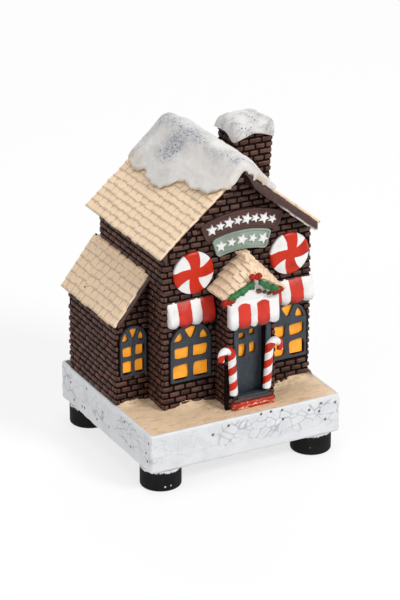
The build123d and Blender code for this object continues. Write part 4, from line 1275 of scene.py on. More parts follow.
def ridge_snow():
    """Snow folded over the ridge: a soft sheet with rounded lobes that laps over the front verge."""
    pitch = sizes().roof_pitch
    deep, heap = sizes().snow_depth, sizes().snow_crest
    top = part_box("roof_tiles_left")[1].z
    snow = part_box("ridge_snow")
    bm, upper, (soot, thin) = sheet(120, 150, "soot", "thin")
    bend = 2.2 * MM
    for vert in bm.verts:
        t, w = vert.co.x + 0.5, vert.co.y + 0.5
        y = snow[1].y + (snow[0].y - snow[1].y) * w
        u = -y / MM
        wave = noise.noise((u * 0.35, 3.0, 0.0)) * 0.6 + noise.noise((u * 1.3, 7.0, 0.0)) * 0.45
        edge_left = (along_points(SNOW_EDGE_LEFT, u) + wave) * MM
        edge_right = (along_points(SNOW_EDGE_RIGHT, u) - wave) * MM
        s = -edge_left + (edge_left + edge_right) * t
        bent = math.sqrt(s * s + bend * bend)
        lean = s / bent
        x = HOUSE_X + s * math.cos(pitch)
        z = top - (bent - 0.55 * bend) * math.sin(pitch)
        out = Vector((lean * math.sin(pitch), 0.0, math.cos(pitch))).normalized()
        rim = min(s + edge_left, edge_right - s, y - snow[0].y, snow[1].y - y)
        share = min(1.0, max(0.0, rim / (1.3 * MM)))
        round_edge = math.sqrt(1 - (1 - share) ** 2)
        lumps = noise.fractal(Vector((s, y, 0.0)) / (7.0 * MM), 1.0, 2.0, 3) * 0.3
        crest = 1.0 - smooth_step(abs(s), 0.0, 11.0 * MM)
        fall = smooth_step(rim, 0.0, 9.0 * MM)
        thick = deep * (0.5 + 0.5 * fall) + heap * crest + 1.3 * MM * smooth_step(s, 0.0, 6.0 * MM) * fall
        dints = noise.noise(Vector((s, y, 9.0 * MM)) / (2.2 * MM)) * 0.12
        if vert in upper:
            rise = (0.2 + 0.8 * round_edge) * thick + (lumps + dints) * MM * round_edge
        else:
            rise = -0.25 * MM
            front = smooth_step(y, snow[0].y + 1.3 * MM, snow[0].y + 0.4 * MM)
            back = smooth_step(y, snow[1].y - 1.3 * MM, snow[1].y - 0.4 * MM)
            drip = 1.5 + 0.9 * noise.noise((s * 230.0, 5.0 + back, 0.0))
            drip -= 1.2 * math.exp(-(((s / MM - 1.0) / 5.0) ** 2))
            drip += sum(long * math.exp(-(((s / MM - at) / wide) ** 2)) for at, wide, long in SNOW_DRIPS)
            rise -= (front * drip + back) * MM
        vert.co = Vector((x, y, z)) + out * rise
        down = -s / MM
        smudge = math.exp(-(((u + 15.0) / 5.6) ** 2 + ((down - 9.0) / 6.2) ** 2))
        along_ridge = math.exp(-(((down - 1.4) / 2.8) ** 2)) * 0.95
        along_back = math.exp(-(((u + 34.0) / 2.8) ** 2)) * 0.95 * smooth_step(down, 26.0, 8.0)
        patch = 0.5 + 0.8 * noise.noise(Vector((s, y, 3.0 * MM)) / (5.0 * MM))
        along_front = math.exp(-(((u - 24.5) / 2.5) ** 2)) * 0.7 * smooth_step(down, 6.0, -2.0)
        worn = max(along_ridge, along_back, along_front) * max(0.0, min(1.2, patch))
        vert[soot] = min(1.0, smudge * 1.2 + worn + 0.06 + 0.12 * smooth_step(u, 5.0, -20.0))
        bare = smooth_step(down, 15.5, 21.0) * smooth_step(u, -19.0, -29.0) * max(0.0, 0.4 + patch)
        vert[thin] = min(1.0, 1.0 - share + bare)
    smoothed(bm, 0.4)
    piece(bm, "ridge_snow_cover", [snow_finish()], ["ridge_snow"])


def chimney_snow():
    """A heap of snow on the stack: a leaning dome whose corners drip over the bricks."""
    low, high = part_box("chimney_snow")
    centre, half, tall = (low + high) / 2, (high - low) / 2, high.z - low.z
    bm = bmesh.new()
    bmesh.ops.create_cube(bm, size=2.0)
    bmesh.ops.subdivide_edges(bm, edges=bm.edges[:], cuts=30, use_grid_fill=True)
    soot, thin = kept(bm, "soot", "thin")
    for vert in bm.verts:
        x, y, lift = vert.co.x, vert.co.y, (vert.co.z + 1) / 2
        reach = max(abs(x), abs(y))
        ring = max((abs(x) ** 9 + abs(y) ** 9) ** (1 / 9), 1e-6)
        x, y = x / ring * reach, y / ring * reach
        turn = math.atan2(y, x)
        drip = 0.8 - 2.6 * abs(math.sin(2 * turn)) ** 4 * (1.0 if y < 0 else 0.3)
        drip += 0.9 * noise.noise((math.cos(turn) * 2.2, math.sin(turn) * 2.2, 4.0))
        lean = (x - y) / 2
        brow = tall * (0.3 + 0.28 * lean)
        dome = math.sqrt(max(0.0, 1 - reach ** 1.9))
        if lift > 0.999:
            z = brow + (tall - brow) * dome * (0.9 + 0.1 * lean)
        elif reach > 0.999:
            z = drip * MM + (brow - drip * MM) * lift
        else:
            z = 0.4 * MM + (drip - 0.4) * MM * smooth_step(reach, 0.8, 1.0)
        bulge = 1.02 + 0.02 * math.sin(math.pi * min(1.0, lift * 1.3)) if reach > 0.999 else 1.02
        at = Vector((x * half.x * bulge, y * half.y * bulge, z))
        lump = noise.fractal(at / (6.0 * MM), 1.0, 2.0, 3) * 0.45 + noise.noise(at / (1.8 * MM)) * 0.1
        at += Vector((x, y, lift)).normalized() * lump * MM * min(1.0, 0.3 + lift)
        vert.co = Vector((centre.x, centre.y, low.z)) + at
        vert[soot] = min(0.8, max(0.16, 0.42 + 0.9 * noise.noise(at / (4.0 * MM))))
        vert[thin] = 0.7 * smooth_step(lift, 0.4, 0.0)
    smoothed(bm, 0.5)
    piece(bm, "chimney_snow_cap", [snow_finish()], ["chimney_snow"])


# Plinth and ground


def rounded_square(share, half_x, half_y, corner):
    """A place on a rounded rectangle and its outward direction, by a share of its length."""
    straight_x, straight_y, quarter = 2 * (half_x - corner), 2 * (half_y - corner), math.pi * corner / 2
    runs = [straight_x, quarter, straight_y, quarter] * 2
    starts = [
        (Vector((-half_x + corner, -half_y)), -90.0),
        (Vector((half_x, -half_y + corner)), 0.0),
        (Vector((half_x - corner, half_y)), 90.0),
        (Vector((-half_x, half_y - corner)), 180.0),
    ]
    left = share * sum(runs)
    for index, run in enumerate(runs):
        if left <= run or index == len(runs) - 1:
            break
        left -= run
    start, facing = starts[index // 2]
    turn = math.radians(facing)
    out = Vector((math.cos(turn), math.sin(turn)))
    ahead = Vector((-out.y, out.x))
    if index % 2 == 0:
        return start + ahead * left, out
    hub = start + ahead * runs[index - 1] - out * corner
    swing = turn + left / corner
    out = Vector((math.cos(swing), math.sin(swing)))
    return hub + out * corner, out


def stone_face(point, cell):
    """How far a place in the stone face is from the nearest crack."""
    warp = Vector((noise.noise(point / (5.0 * MM)), noise.noise(point / (5.0 * MM) + Vector((7, 3, 1))), 0.0))
    spot = point + Vector((warp.x, warp.x, warp.y)) * 1.0 * MM
    far, _ = noise.voronoi(Vector((spot.x, spot.y, spot.z * 1.35)) / cell)
    return (far[1] - far[0]) * cell


UNIT_GAP, UNIT_FLANGE, UNIT_SEAT = 0.3 * MM, 5.0 * MM, 1.5 * MM
# Pinholes in the plinth's front in millimetres: x, z
PINHOLES = (
    (5.9, 23.0), (10.1, 23.1), (14.8, 22.7), (26.5, 20.1), (30.8, 18.7), (31.6, 21.8), (37.8, 20.8),
    (33.5, 14.7), (15.3, 18.8),
)


def stone_plinth():
    """The plinth: one closed skin from its cracked stone sides over the rim and down through its bore."""
    low, high = PLINTH
    half_x, half_y = (high.x - low.x) / 2, (high.y - low.y) / 2
    bed = GROUND[0].z
    rim = half_x - GROUND[1].x
    cell = sizes().stone_size
    deep = sizes().crack_depth
    undercut, corner, edge = 1.2 * MM, 1.0 * MM, 0.5 * MM
    seat_r = (UNIT[1].x - UNIT[0].x) / 2 + UNIT_GAP
    unit_r, seat_z = seat_r - UNIT_FLANGE, low.z + UNIT_SEAT
    side_rings = 44
    profile = []
    for i in range(6):
        turn = math.pi / 2 * i / 6
        profile.append((undercut * (1 - math.sin(turn)), low.z + undercut * (1 - math.cos(turn)), 1.0))
    for i in range(side_rings + 1):
        profile.append((0.0, low.z + undercut + (high.z - edge - low.z - undercut) * i / side_rings, 1.0))
    profile += [(edge * 0.3, high.z - edge * 0.3, 0.6), (edge, high.z, 0.3), (rim, high.z, 0.2)]
    profile += [(rim, high.z - 0.9 * MM, 0.0), (rim, bed, 0.0)]
    bores = [(unit_r, bed), (unit_r, (bed + seat_z) / 2), (unit_r, seat_z), (seat_r, seat_z), (seat_r, low.z)]
    around = 960
    bm = bmesh.new()
    crack, wash, pit = kept(bm, "crack", "wash", "pit")
    rng = random.Random(5)
    pits = [Vector((x * MM, low.y, z * MM)) for x, z in PINHOLES]
    pits += [Vector((rng.uniform(-38, 0) * MM, low.y, rng.uniform(11, 22) * MM)) for _ in range(2)]
    pits += [Vector((low.x, rng.uniform(-36, 34) * MM, rng.uniform(10.5, 22) * MM)) for _ in range(13)]
    pits += [Vector((high.x, rng.uniform(-36, 34) * MM, rng.uniform(11, 22) * MM)) for _ in range(6)]
    pits += [Vector((rng.uniform(-38, 38) * MM, high.y, rng.uniform(11, 22) * MM)) for _ in range(6)]
    bump = Vector((11.5 * MM, low.y, 17.0 * MM))
    ring = bmesh.ops.create_circle(bm, segments=around, radius=1.0)["verts"]
    order = sorted(ring, key=lambda v: math.atan2(v.co.y, v.co.x))
    shares = {v: i / around for i, v in enumerate(order)}
    edges = bm.edges[:]

    def settle(verts, index):
        for vert in verts:
            share = shares[vert]
            if index < len(profile):
                inset, z, relief = profile[index]
                flat, out = rounded_square(share, half_x, half_y, corner)
                at = Vector((flat.x - out.x * inset, flat.y - out.y * inset, z))
                normal = Vector((out.x, out.y, 0.0))
                if relief > 0:
                    far = stone_face(at, cell)
                    band = smooth_step(z, low.z + 3.2 * MM, low.z + 5.6 * MM)
                    band *= smooth_step(z, high.z - 0.9 * MM, high.z - 2.4 * MM)
                    band *= 0.35 + 0.65 * smooth_step(noise.noise(at / (13.0 * MM)), -0.25, 0.15)
                    shaded_side = out.x < -0.7
                    groove = smooth_step(far, (0.55 if shaded_side else 0.36) * MM, 0.1 * MM) * band
                    ridge = smooth_step(far, 1.2 * MM, 0.6 * MM) * band
                    swell = noise.fractal(at / (7.0 * MM), 1.0, 2.0, 4) * 0.26 * MM
                    fine = noise.noise(at / (1.6 * MM)) * 0.05 * MM
                    knob = math.exp(-((at - bump).length / (1.5 * MM)) ** 2) * 0.8 * MM
                    cut = groove * deep * (2.2 if shaded_side else 1.0)
                    at += normal * ((swell + fine - cut + ridge * 0.12 * MM) * relief + knob)
                    if z < low.z + 2 * undercut:
                        at.z += 0.35 * MM * noise.noise(Vector((at.x, at.y, 0.0)) / (6.0 * MM))
                    spot = min((at - p).length for p in pits)
                    vert[crack] = groove
                    vert[wash] = band * smooth_step(far, 0.8 * MM, 1.7 * MM)
                    vert[pit] = smooth_step(spot, 0.7 * MM, 0.35 * MM)
                vert.co = at
            else:
                radius, z = bores[index - len(profile)]
                flat, _ = rounded_square(share, half_x, half_y, corner)
                turn = math.atan2(flat.y - UNIT_Y, flat.x - UNIT_X)
                vert.co = Vector((UNIT_X + radius * math.cos(turn), UNIT_Y + radius * math.sin(turn), z))

    settle(order, 0)
    for index in range(1, len(profile) + len(bores)):
        verts, edges = pulled(bm, edges)
        fresh = set(verts)
        for vert in verts:
            for spoke in vert.link_edges:
                other = spoke.other_vert(vert)
                if other not in fresh:
                    shares[vert] = shares[other]
        settle(verts, index)
    bmesh.ops.bridge_loops(bm, edges=open_edges(bm))
    piece(bm, "plinth_stone", [stone_finish()], ["plinth"])


GROUND_HOLE = 17.0 * MM
# Drifts at the foot of the walls in millimetres: x, y, height, spread
DRIFTS = (
    (-35.0, -8.2, 2.2, 2.6), (-30.5, -8.2, 1.7, 2.0), (-26.5, -11.5, 1.2, 3.0), (-16.5, -20.4, 2.3, 5.0),
    (-9.0, -20.4, 1.0, 3.0), (-4.4, -25.0, 0.8, 3.0), (28.0, -20.4, 2.7, 5.5), (20.5, -20.4, 1.5, 3.0),
    (33.5, -20.4, 1.6, 3.0), (16.5, -24.0, 1.0, 4.0), (35.8, -5.0, 1.6, 6.0), (35.8, 12.0, 2.0, 7.0),
    (35.8, 27.0, 1.3, 4.0), (22.0, 31.4, 1.9, 7.0), (2.0, 31.4, 1.4, 6.0), (-18.0, 31.4, 2.1, 7.0),
    (-33.0, 31.4, 1.5, 4.0),
)


def outside(x, y, box):
    """How far a place is outside a box's plan."""
    low, high = box
    return math.hypot(max(low.x - x, 0.0, x - high.x), max(low.y - y, 0.0, y - high.y))


def snowy_ground():
    """The cream ground: brushed, with drifts that climb the foot of the walls."""
    low, high = GROUND
    bm = bmesh.new()
    bmesh.ops.create_grid(bm, x_segments=150, y_segments=142, size=0.5)
    (earth,) = kept(bm, "earth")
    size = high - low
    for vert in bm.verts:
        vert.co = Vector((low.x + (vert.co.x + 0.5) * size.x, low.y + (vert.co.y + 0.5) * size.y, 0.0))
    hole = (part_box("lamp")[0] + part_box("lamp")[1]) / 2
    hole.z = 0.0
    inner = [face for face in bm.faces if (face.calc_center_median() - hole).length < GROUND_HOLE]
    bmesh.ops.delete(bm, geom=inner, context="FACES")
    upper = set(grown(bm, bm.faces[:]))
    for vert in bm.verts:
        if vert not in upper:
            vert.co.z = low.z
            continue
        x, y = vert.co.x, vert.co.y
        far = min(outside(x, y, box) for box in (HOUSE, WING, BAY, STEP))
        pile = 0.0
        for px, py, rise, spread in DRIFTS:
            away = math.hypot(x - px * MM, y - py * MM) / MM
            pile += rise * math.exp(-((away / spread) ** 2))
        ragged = 1.0 + 0.45 * noise.noise(Vector((x, y, 0.0)) / (1.7 * MM))
        pile *= math.exp(-far / (2.6 * MM)) * ragged
        ripple = noise.noise(Vector((x * 0.35, y * 1.6, 0.0)) / (2.2 * MM)) * 0.1
        roll = noise.fractal(Vector((x, y, 4.0 * MM)) / (12.0 * MM), 1.0, 2.0, 3) * 0.22
        brink = min(x - low.x, high.x - x, y - low.y, high.y - y)
        fade = smooth_step(brink, 0.0, 1.5 * MM)
        vert.co.z = high.z + (pile + (ripple + roll + 0.05) * fade - 0.05) * MM
        # Browner ground near the front-right corner and along the back edge at the left.
        corner = math.exp(-((math.hypot(x - 36.8 * MM, y + 18.6 * MM) / (2.2 * MM)) ** 2))
        behind = smooth_step(y, 31.0 * MM, 32.2 * MM) * smooth_step(x, -20.0 * MM, -30.0 * MM)
        vert[earth] = min(1.0, 1.6 * (corner + behind))
        vert.co.z += 3.0 * MM * corner * smooth_step(brink, 0.0, 1.0 * MM)
    piece(bm, "ground_cover", [ground_finish()], ["ground"])


# Windows and door


def soften(part, share, blend, wobble, rng):
    """Rounds an opening's outline: points are added to it and its corners drawn in."""
    for edge in list(part.edges):
        for left in range(5, 0, -1):
            bmesh.utils.edge_split(edge, edge.verts[0], 1 / (left + 1))
    middle = part.calc_center_median()
    drift = Vector((rng.uniform(-wobble, wobble), rng.uniform(-wobble, wobble), 0.0))
    usual = sum((vert.co - middle).length for vert in part.verts) / len(part.verts)
    lean = rng.uniform(-0.09, 0.09)
    for vert in part.verts:
        arm = (vert.co - middle) * share
        far = arm.length
        soft = far * (1 - blend) + min(far, usual * share) * blend
        soft += noise.noise((vert.co + drift * 40) / (1.6 * MM)) * wobble
        arm *= soft / far
        vert.co = middle + drift + Vector((arm.x + arm.y * lean, arm.y - arm.x * lean, 0.0))


def parted(bm, face, cuts):
    """Cuts a face along lines, each given by a place, a normal and a test for the parts that it cuts."""
    parts = [face]
    for place, normal, test in cuts:
        chosen = [f for f in parts if test(f.calc_center_median())]
        rest = [f for f in parts if f not in chosen]
        geom = chosen + list({e for f in chosen for e in f.edges})
        geom += {v for f in chosen for v in f.verts}
        place, normal = (*place, 0.0), (*normal, 0.0)
        made = bmesh.ops.bisect_plane(bm, geom=geom, dist=1e-7, plane_co=place, plane_no=normal)
        parts = rest + only(made["geom"], bmesh.types.BMFace)
    return parts


def lit_plate(bm, outline, edge, bar, cuts, depth, rng, head):
    """A flat frame: an outline, a rim inside it, and cuts that part the middle into rounded lights."""
    face = plate(bm, outline)
    thin = edge - bar / 2
    bmesh.ops.inset_region(bm, faces=[face], thickness=thin, use_even_offset=True, use_boundary=True)
    parts = parted(bm, face, cuts)
    bmesh.ops.inset_individual(bm, faces=parts, thickness=bar / 2, use_even_offset=True)
    for part in parts:
        fan = part.calc_center_median().y > head
        soften(part, 0.9 if fan else 1.02, 0.85 if fan else 0.6, 0.2 * MM, rng)
    bmesh.ops.delete(bm, geom=parts, context="FACES_ONLY")
    raised(bm, depth)
    outward(bm)
    brims = [e for e in upper_edges(bm, depth * 0.9) if e.calc_face_angle(0.0) > 0.8]
    rounded(bm, brims, 0.2 * MM, 2)


def arched_outline(width, height, rise, steps=14):
    """An arched outline from its right foot, up and over to its left foot."""
    half = width / 2
    radius = (half * half + rise * rise) / (2 * rise)
    sweep = math.asin(half / radius) if rise <= half else math.pi - math.asin(half / radius)
    points = [(-half, 0.0), (half, 0.0)]
    for i in range(steps + 1):
        turn = sweep - 2 * sweep * i / steps
        points.append((radius * math.sin(turn), height - radius + radius * math.cos(turn)))
    return points


def window_frames():
    """Three slate frames with hand-cut lights: four square ones under a fan."""
    size = sizes()
    shop = (size.window_arch, size.frame_edge, size.frame_bar, 8.2 * MM, math.radians(27.0))
    wing = (size.wing_arch, size.wing_edge, size.wing_edge, 7.2 * MM, math.radians(20.0))
    for name, kind, seed in (("left", shop, 21), ("right", shop, 22), ("wing", wing, 23)):
        rise, edge, bar, fan_high, fan = kind
        node = "window_frame_" + name
        low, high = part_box(node)
        width, height, depth = high.x - low.x, high.z - low.z, high.y - low.y
        spring = height - fan_high
        hub = (0.0, spring - 0.6 * bar)

        def below(c):
            return c.y < spring

        def above(c):
            return c.y > spring

        cuts = [
            ((0.0, spring), (0.0, 1.0), lambda c: True),
            ((0.0, (spring + edge) / 2), (0.0, 1.0), below),
            ((0.0, 0.0), (1.0, 0.0), below),
            (hub, (math.cos(fan), -math.sin(fan)), above),
            (hub, (-math.cos(fan), -math.sin(fan)), lambda c: above(c) and c.x < 0.3 * width),
        ]
        bm = bmesh.new()
        outline = arched_outline(width, height, rise)
        lit_plate(bm, outline, edge, bar, cuts, depth, random.Random(seed), spring)
        bm.transform(on_front((low.x + high.x) / 2, high.y, low.z))
        flatten(dressed(bm, node, "painted", slate_finish()))


DOOR_TRIM = 2.0 * MM
DOOR_LIGHTS_FOOT, DOOR_LIGHTS_SPLIT = 42.6 * MM, 49.4 * MM
# The door's lights in millimetres: middle x, middle z, width, height
DOOR_LIGHTS = ((-2.9, 45.4, 4.6, 5.5), (2.1, 45.9, 2.3, 4.8), (-3.0, 51.3, 3.7, 2.6), (2.0, 52.2, 2.2, 2.6))


def door_pieces():
    """The slate door with its four lights, the trim round it and the painted step."""
    low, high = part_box("door")
    trim_low, trim_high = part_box("door_trim")
    half = (high.x - low.x) / 2
    height, depth = high.z - low.z, high.y - low.y
    lights, fan = DOOR_LIGHTS_FOOT - low.z, DOOR_LIGHTS_SPLIT - low.z
    outline = [(-half, 0.0), (half, 0.0), (half, height), (-half, height)]
    cuts = [
        ((0.0, lights), (0.0, 1.0), lambda c: True),
        ((0.0, fan), (0.0, 1.0), lambda c: c.y > lights),
        ((0.0, 0.0), (1.0, 0.0), lambda c: c.y > lights),
    ]
    bm = bmesh.new()
    door_leaf(bm, outline, cuts, lights, depth, low.z)
    bm.transform(on_front((low.x + high.x) / 2, high.y, low.z))
    flatten(dressed(bm, "door", "leaf", slate_finish()))
    bm = bmesh.new()
    outer, top = (trim_high.x - trim_low.x) / 2, trim_high.z - trim_low.z
    inner, lintel = outer - DOOR_TRIM, top - DOOR_TRIM
    points = [
        (-outer, 0), (-inner, 0), (-inner, lintel), (inner, lintel),
        (inner, 0), (outer, 0), (outer, top), (-outer, top),
    ]
    plate(bm, points)
    raised(bm, trim_high.y - trim_low.y + 0.15 * MM)
    rounded(bm, upper_edges(bm, 0.3 * MM), 0.25 * MM, 2)
    add_box(bm, (0.0, 0.5 * MM, 0.2 * MM), (2 * inner + MM, 1.0 * MM, 2.2 * MM))
    bm.transform(on_front((trim_low.x + trim_high.x) / 2, trim_high.y, trim_low.z))
    flatten(dressed(bm, "door_trim", "painted", slate_finish()))
    step_pieces()


def door_leaf(bm, outline, cuts, lights, depth, foot):
    """The leaf: planks below, and four uneven lights above them."""
    rng = random.Random(31)
    face = plate(bm, outline)
    parts = parted(bm, face, cuts)
    upper = [f for f in parts if f.calc_center_median().y > lights]
    bmesh.ops.inset_individual(bm, faces=upper, thickness=0.5 * MM, use_even_offset=True)
    for part in upper:
        middle = part.calc_center_median()
        above = middle.y + foot > DOOR_LIGHTS_SPLIT
        x, z, wide, tall = DOOR_LIGHTS[2 * above + (middle.x > 0)]
        for vert in part.verts:
            right, top = (1 if vert.co.x > middle.x else -1), (1 if vert.co.y > middle.y else -1)
            vert.co.x = (x + right * wide / 2 + rng.uniform(-0.3, 0.3)) * MM
            vert.co.y = (z + top * tall / 2 + rng.uniform(-0.3, 0.3)) * MM - foot
        soften(part, 1.0, 0.8, 0.15 * MM, rng)
    bmesh.ops.delete(bm, geom=upper, context="FACES_ONLY")
    raised(bm, depth)
    outward(bm)


def step_pieces():
    """The step: a brown tread over a scratched red riser."""
    low, high = STEP
    for name, finish, z, reach in (
        ("step_riser", step_finish(), (low.z, low.z + 2.7 * MM), 0.0),
        ("step_tread", board_finish(), (low.z + 2.6 * MM, high.z), 0.5 * MM),
    ):
        bm = bmesh.new()
        size = Vector((high.x - low.x - 2 * reach, high.y - low.y - reach, z[1] - z[0]))
        centre = Vector(((low.x + high.x) / 2, (low.y + reach + high.y) / 2, (z[0] + z[1]) / 2))
        add_box(bm, centre, size)
        rounded(bm, bm.edges[:], 0.45 * MM, 3)
        long_edges = [e for e in bm.edges if e.calc_length() > 3 * MM]
        bmesh.ops.subdivide_edges(bm, edges=long_edges, cuts=12, use_grid_fill=True)
        for vert in bm.verts:
            rough = noise.noise(vert.co / (2.6 * MM)) * 0.22 + noise.noise(vert.co / (0.9 * MM)) * 0.12
            vert.co += Vector((0, 1, 1)) * rough * MM
        piece(bm, name, [finish], ["doorstep"] if name == "step_riser" else ())


# Awnings and ornaments

CANE_LEAN, CANE_DROP = 1.0 * MM, 1.5 * MM
CANE_TIP = (0.97, 0.86, 0.6)
STAR_POINTS = 5
SIGN_RIM = 0.35 * MM
GARLAND_GAP = 0.1


def awning(name, shares, first_red, start, red_top, wider=0.0):
    """A swelling awning whose stripes, given by their shares of the width, each hang as a rounded lobe."""
    node = "awning_" + name
    low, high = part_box(node)
    width, height, reach = high.x - low.x + wider, high.z - low.z, high.y - low.y
    bm, upper, (stripe, tail) = sheet(76, 28, "stripe", "low")
    bounds = [sum(shares[:i]) / sum(shares) for i in range(len(shares) + 1)]
    for vert in bm.verts:
        a, b = vert.co.x + 0.5, 0.5 - vert.co.y
        lane = max(i for i in range(len(shares)) if bounds[i] <= max(a, 0.0) or i == 0)
        wide = bounds[lane + 1] - bounds[lane]
        across = min(1.0, (a - bounds[lane]) / wide)
        lobe = math.sin(math.pi * across) ** 0.6
        red = (lane % 2 == 0) == first_red
        side = min(across, 1 - across) * wide * width / MM
        outer = (lane == 0 and across < 0.5) or (lane == len(shares) - 1 and across > 0.5)
        if outer:
            side = 3.0
        hang = b * height
        if red:
            vert[stripe] = min(side, (hang - red_top) / MM - 1.3 * (1 - lobe)) if red_top else side
        else:
            vert[stripe] = -side
        # The "low" value rises towards the lower edge, where the stripes are painted darker as shade.
        vert[tail] = smooth_step(b, 0.62, 0.98)
        ends = min(1.0, min(a, 1 - a) * width / (0.7 * MM))
        end_round = math.sqrt(max(0.0, 1 - (1 - ends) ** 2))
        swell = math.sin(min(1.0, b / 0.82) * math.pi / 2) ** 0.85
        curl = 1.0 - 0.3 * smooth_step(b, 0.86, 1.0)
        out = start + swell * curl * (reach - 0.3 * MM - start) * (0.7 + 0.3 * end_round)
        out += 0.4 * MM * (lobe - 0.6) * smooth_step(b, 0.0, 0.35)
        out += noise.noise((a * 9.0, b * 4.0, float(lane))) * 0.12 * MM
        x = low.x + a * width + noise.noise((b * 3.0, lane * 2.0, 1.0)) * 0.15 * MM
        z = high.z - hang * (0.93 + 0.07 * lobe) - 0.1 * MM * noise.noise((a * 12.0, 2.0, 0.0))
        vert.co = Vector((x, high.y - (out if vert in upper else 0.0), z))
    dressed(bm, node, "striped", awning_finish())


def peppermint(name, turns):
    """A domed round sweet with four raised red blades."""
    node = "peppermint_" + name
    low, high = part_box(node)
    centre = (low + high) / 2
    radius, thick = (high.x - low.x) / 2, high.y - low.y
    bm, upper, (stripe,) = sheet(72, 72, "stripe")
    for vert in bm.verts:
        x, y = 2 * vert.co.x, 2 * vert.co.y
        px, py = x * math.sqrt(1 - y * y / 2), y * math.sqrt(1 - x * x / 2)
        r = math.hypot(px, py)
        turn = math.atan2(py, px)
        best = -10.0
        for degrees in turns:
            middle = math.radians(degrees) + 0.42 * (r - 1.0)
            gap = math.remainder(turn - middle, 2 * math.pi)
            half = 0.17 + 0.19 * r
            best = max(best, (half - abs(math.sin(gap)) * r) * radius / MM if math.cos(gap) > 0 else -10.0)
        best = max(best, (0.3 - r) * radius / MM)
        vert[stripe] = best
        dome = 0.72 + 0.28 * math.sqrt(max(0.0, 1 - (r * 0.99) ** 3.0))
        blade = smooth_step(best, -0.25, 0.35) * 0.28 * MM
        out = dome * (thick - 0.3 * MM) + blade * smooth_step(r, 1.0, 0.9)
        vert.co = Vector((px * radius, py * radius, out if vert in upper else 0.0))
    bm.transform(on_front(centre.x, high.y, centre.z))
    dressed(bm, node, "swirled", candy_finish())


def cane(name, side):
    """A candy cane: a straight stem, a hook and a short drop, with a winding stripe."""
    node = "candy_cane_" + name
    low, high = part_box(node)
    radius = sizes().cane_thick / 2
    y = low.y + radius
    hook = (high.x - low.x - CANE_LEAN) / 2 - radius
    stem_x = high.x - radius if side < 0 else low.x + radius
    spring = high.z - radius - hook
    frames = []
    stem_steps, hook_steps = 44, 30
    for i in range(stem_steps + 1):
        z = low.z + (spring - low.z) * i / stem_steps
        frames.append((Vector((stem_x + side * CANE_LEAN * i / stem_steps, y, z)), 0.0, z - low.z))
    travelled = spring - low.z
    stem_x += side * CANE_LEAN
    for i in range(1, hook_steps + 1):
        turn = math.pi * i / hook_steps
        at = Vector((stem_x + side * hook * (1 - math.cos(turn)), y, spring + hook * math.sin(turn)))
        frames.append((at, side * turn, travelled + hook * turn))
    travelled += math.pi * hook
    for i in range(1, 4):
        drop = CANE_DROP * i / 3
        at = Vector((stem_x + side * 2 * hook, y, spring - drop))
        frames.append((at, side * math.pi, travelled + drop))
    bm = bmesh.new()
    (stripe,) = kept(bm, "stripe")
    pitch = sizes().cane_stripe

    def placed_at(item, scale):
        at, turn, _ = item
        return Matrix.Translation(at) @ Matrix.Rotation(turn, 4, "Y") @ Matrix.Scale(radius * scale, 4)

    tip = [(frames[-1], share, 0.35 * MM * (i + 1) / 2) for i, share in enumerate(CANE_TIP)]
    places = [placed_at(frames[0], 1.0)]
    for item, scale, sunk in [(item, 1.0, 0.0) for item in frames[1:]] + tip:
        swell = scale * (1.0 + 0.035 * noise.noise((item[2] * 400.0, side, 0.0)))
        swell *= 1.0 - 0.22 * smooth_step(item[2], travelled - 5.0 * MM, travelled + CANE_DROP)
        places.append(Matrix.Translation((0, 0, -sunk)) @ placed_at(item, swell))
    for verts, item in zip(tube(bm, 28, places), frames + [frames[-1]] * len(CANE_TIP)):
        back = placed_at(item, 1.0).inverted()
        for vert in verts:
            spot = back @ vert.co
            phase = item[2] / pitch - math.atan2(spot.y, spot.x) / (2 * math.pi) + 0.5
            away = abs((phase % 1.0) - 0.5)
            vert[stripe] = (0.25 - away) * pitch / MM * 0.8
    dressed(bm, node, "striped", candy_finish())


def star(bm, at, radius, depth, turn):
    """A small raised star."""
    made = bmesh.ops.create_circle(bm, cap_ends=True, segments=2 * STAR_POINTS, radius=radius)["verts"]
    order = sorted(made, key=lambda v: math.atan2(v.co.y, v.co.x))
    for vert in order[1::2]:
        vert.co *= 0.46
    top = grown(bm, list({f for v in made for f in v.link_faces}))
    bmesh.ops.translate(bm, verts=top, vec=(0.0, 0.0, depth))
    bmesh.ops.scale(bm, verts=top, vec=(0.86, 0.86, 1.0))
    place = Matrix.Translation(at) @ Matrix.Rotation(turn + math.pi / 2, 4, "Z")
    bmesh.ops.transform(bm, matrix=place, verts=list(made) + top)


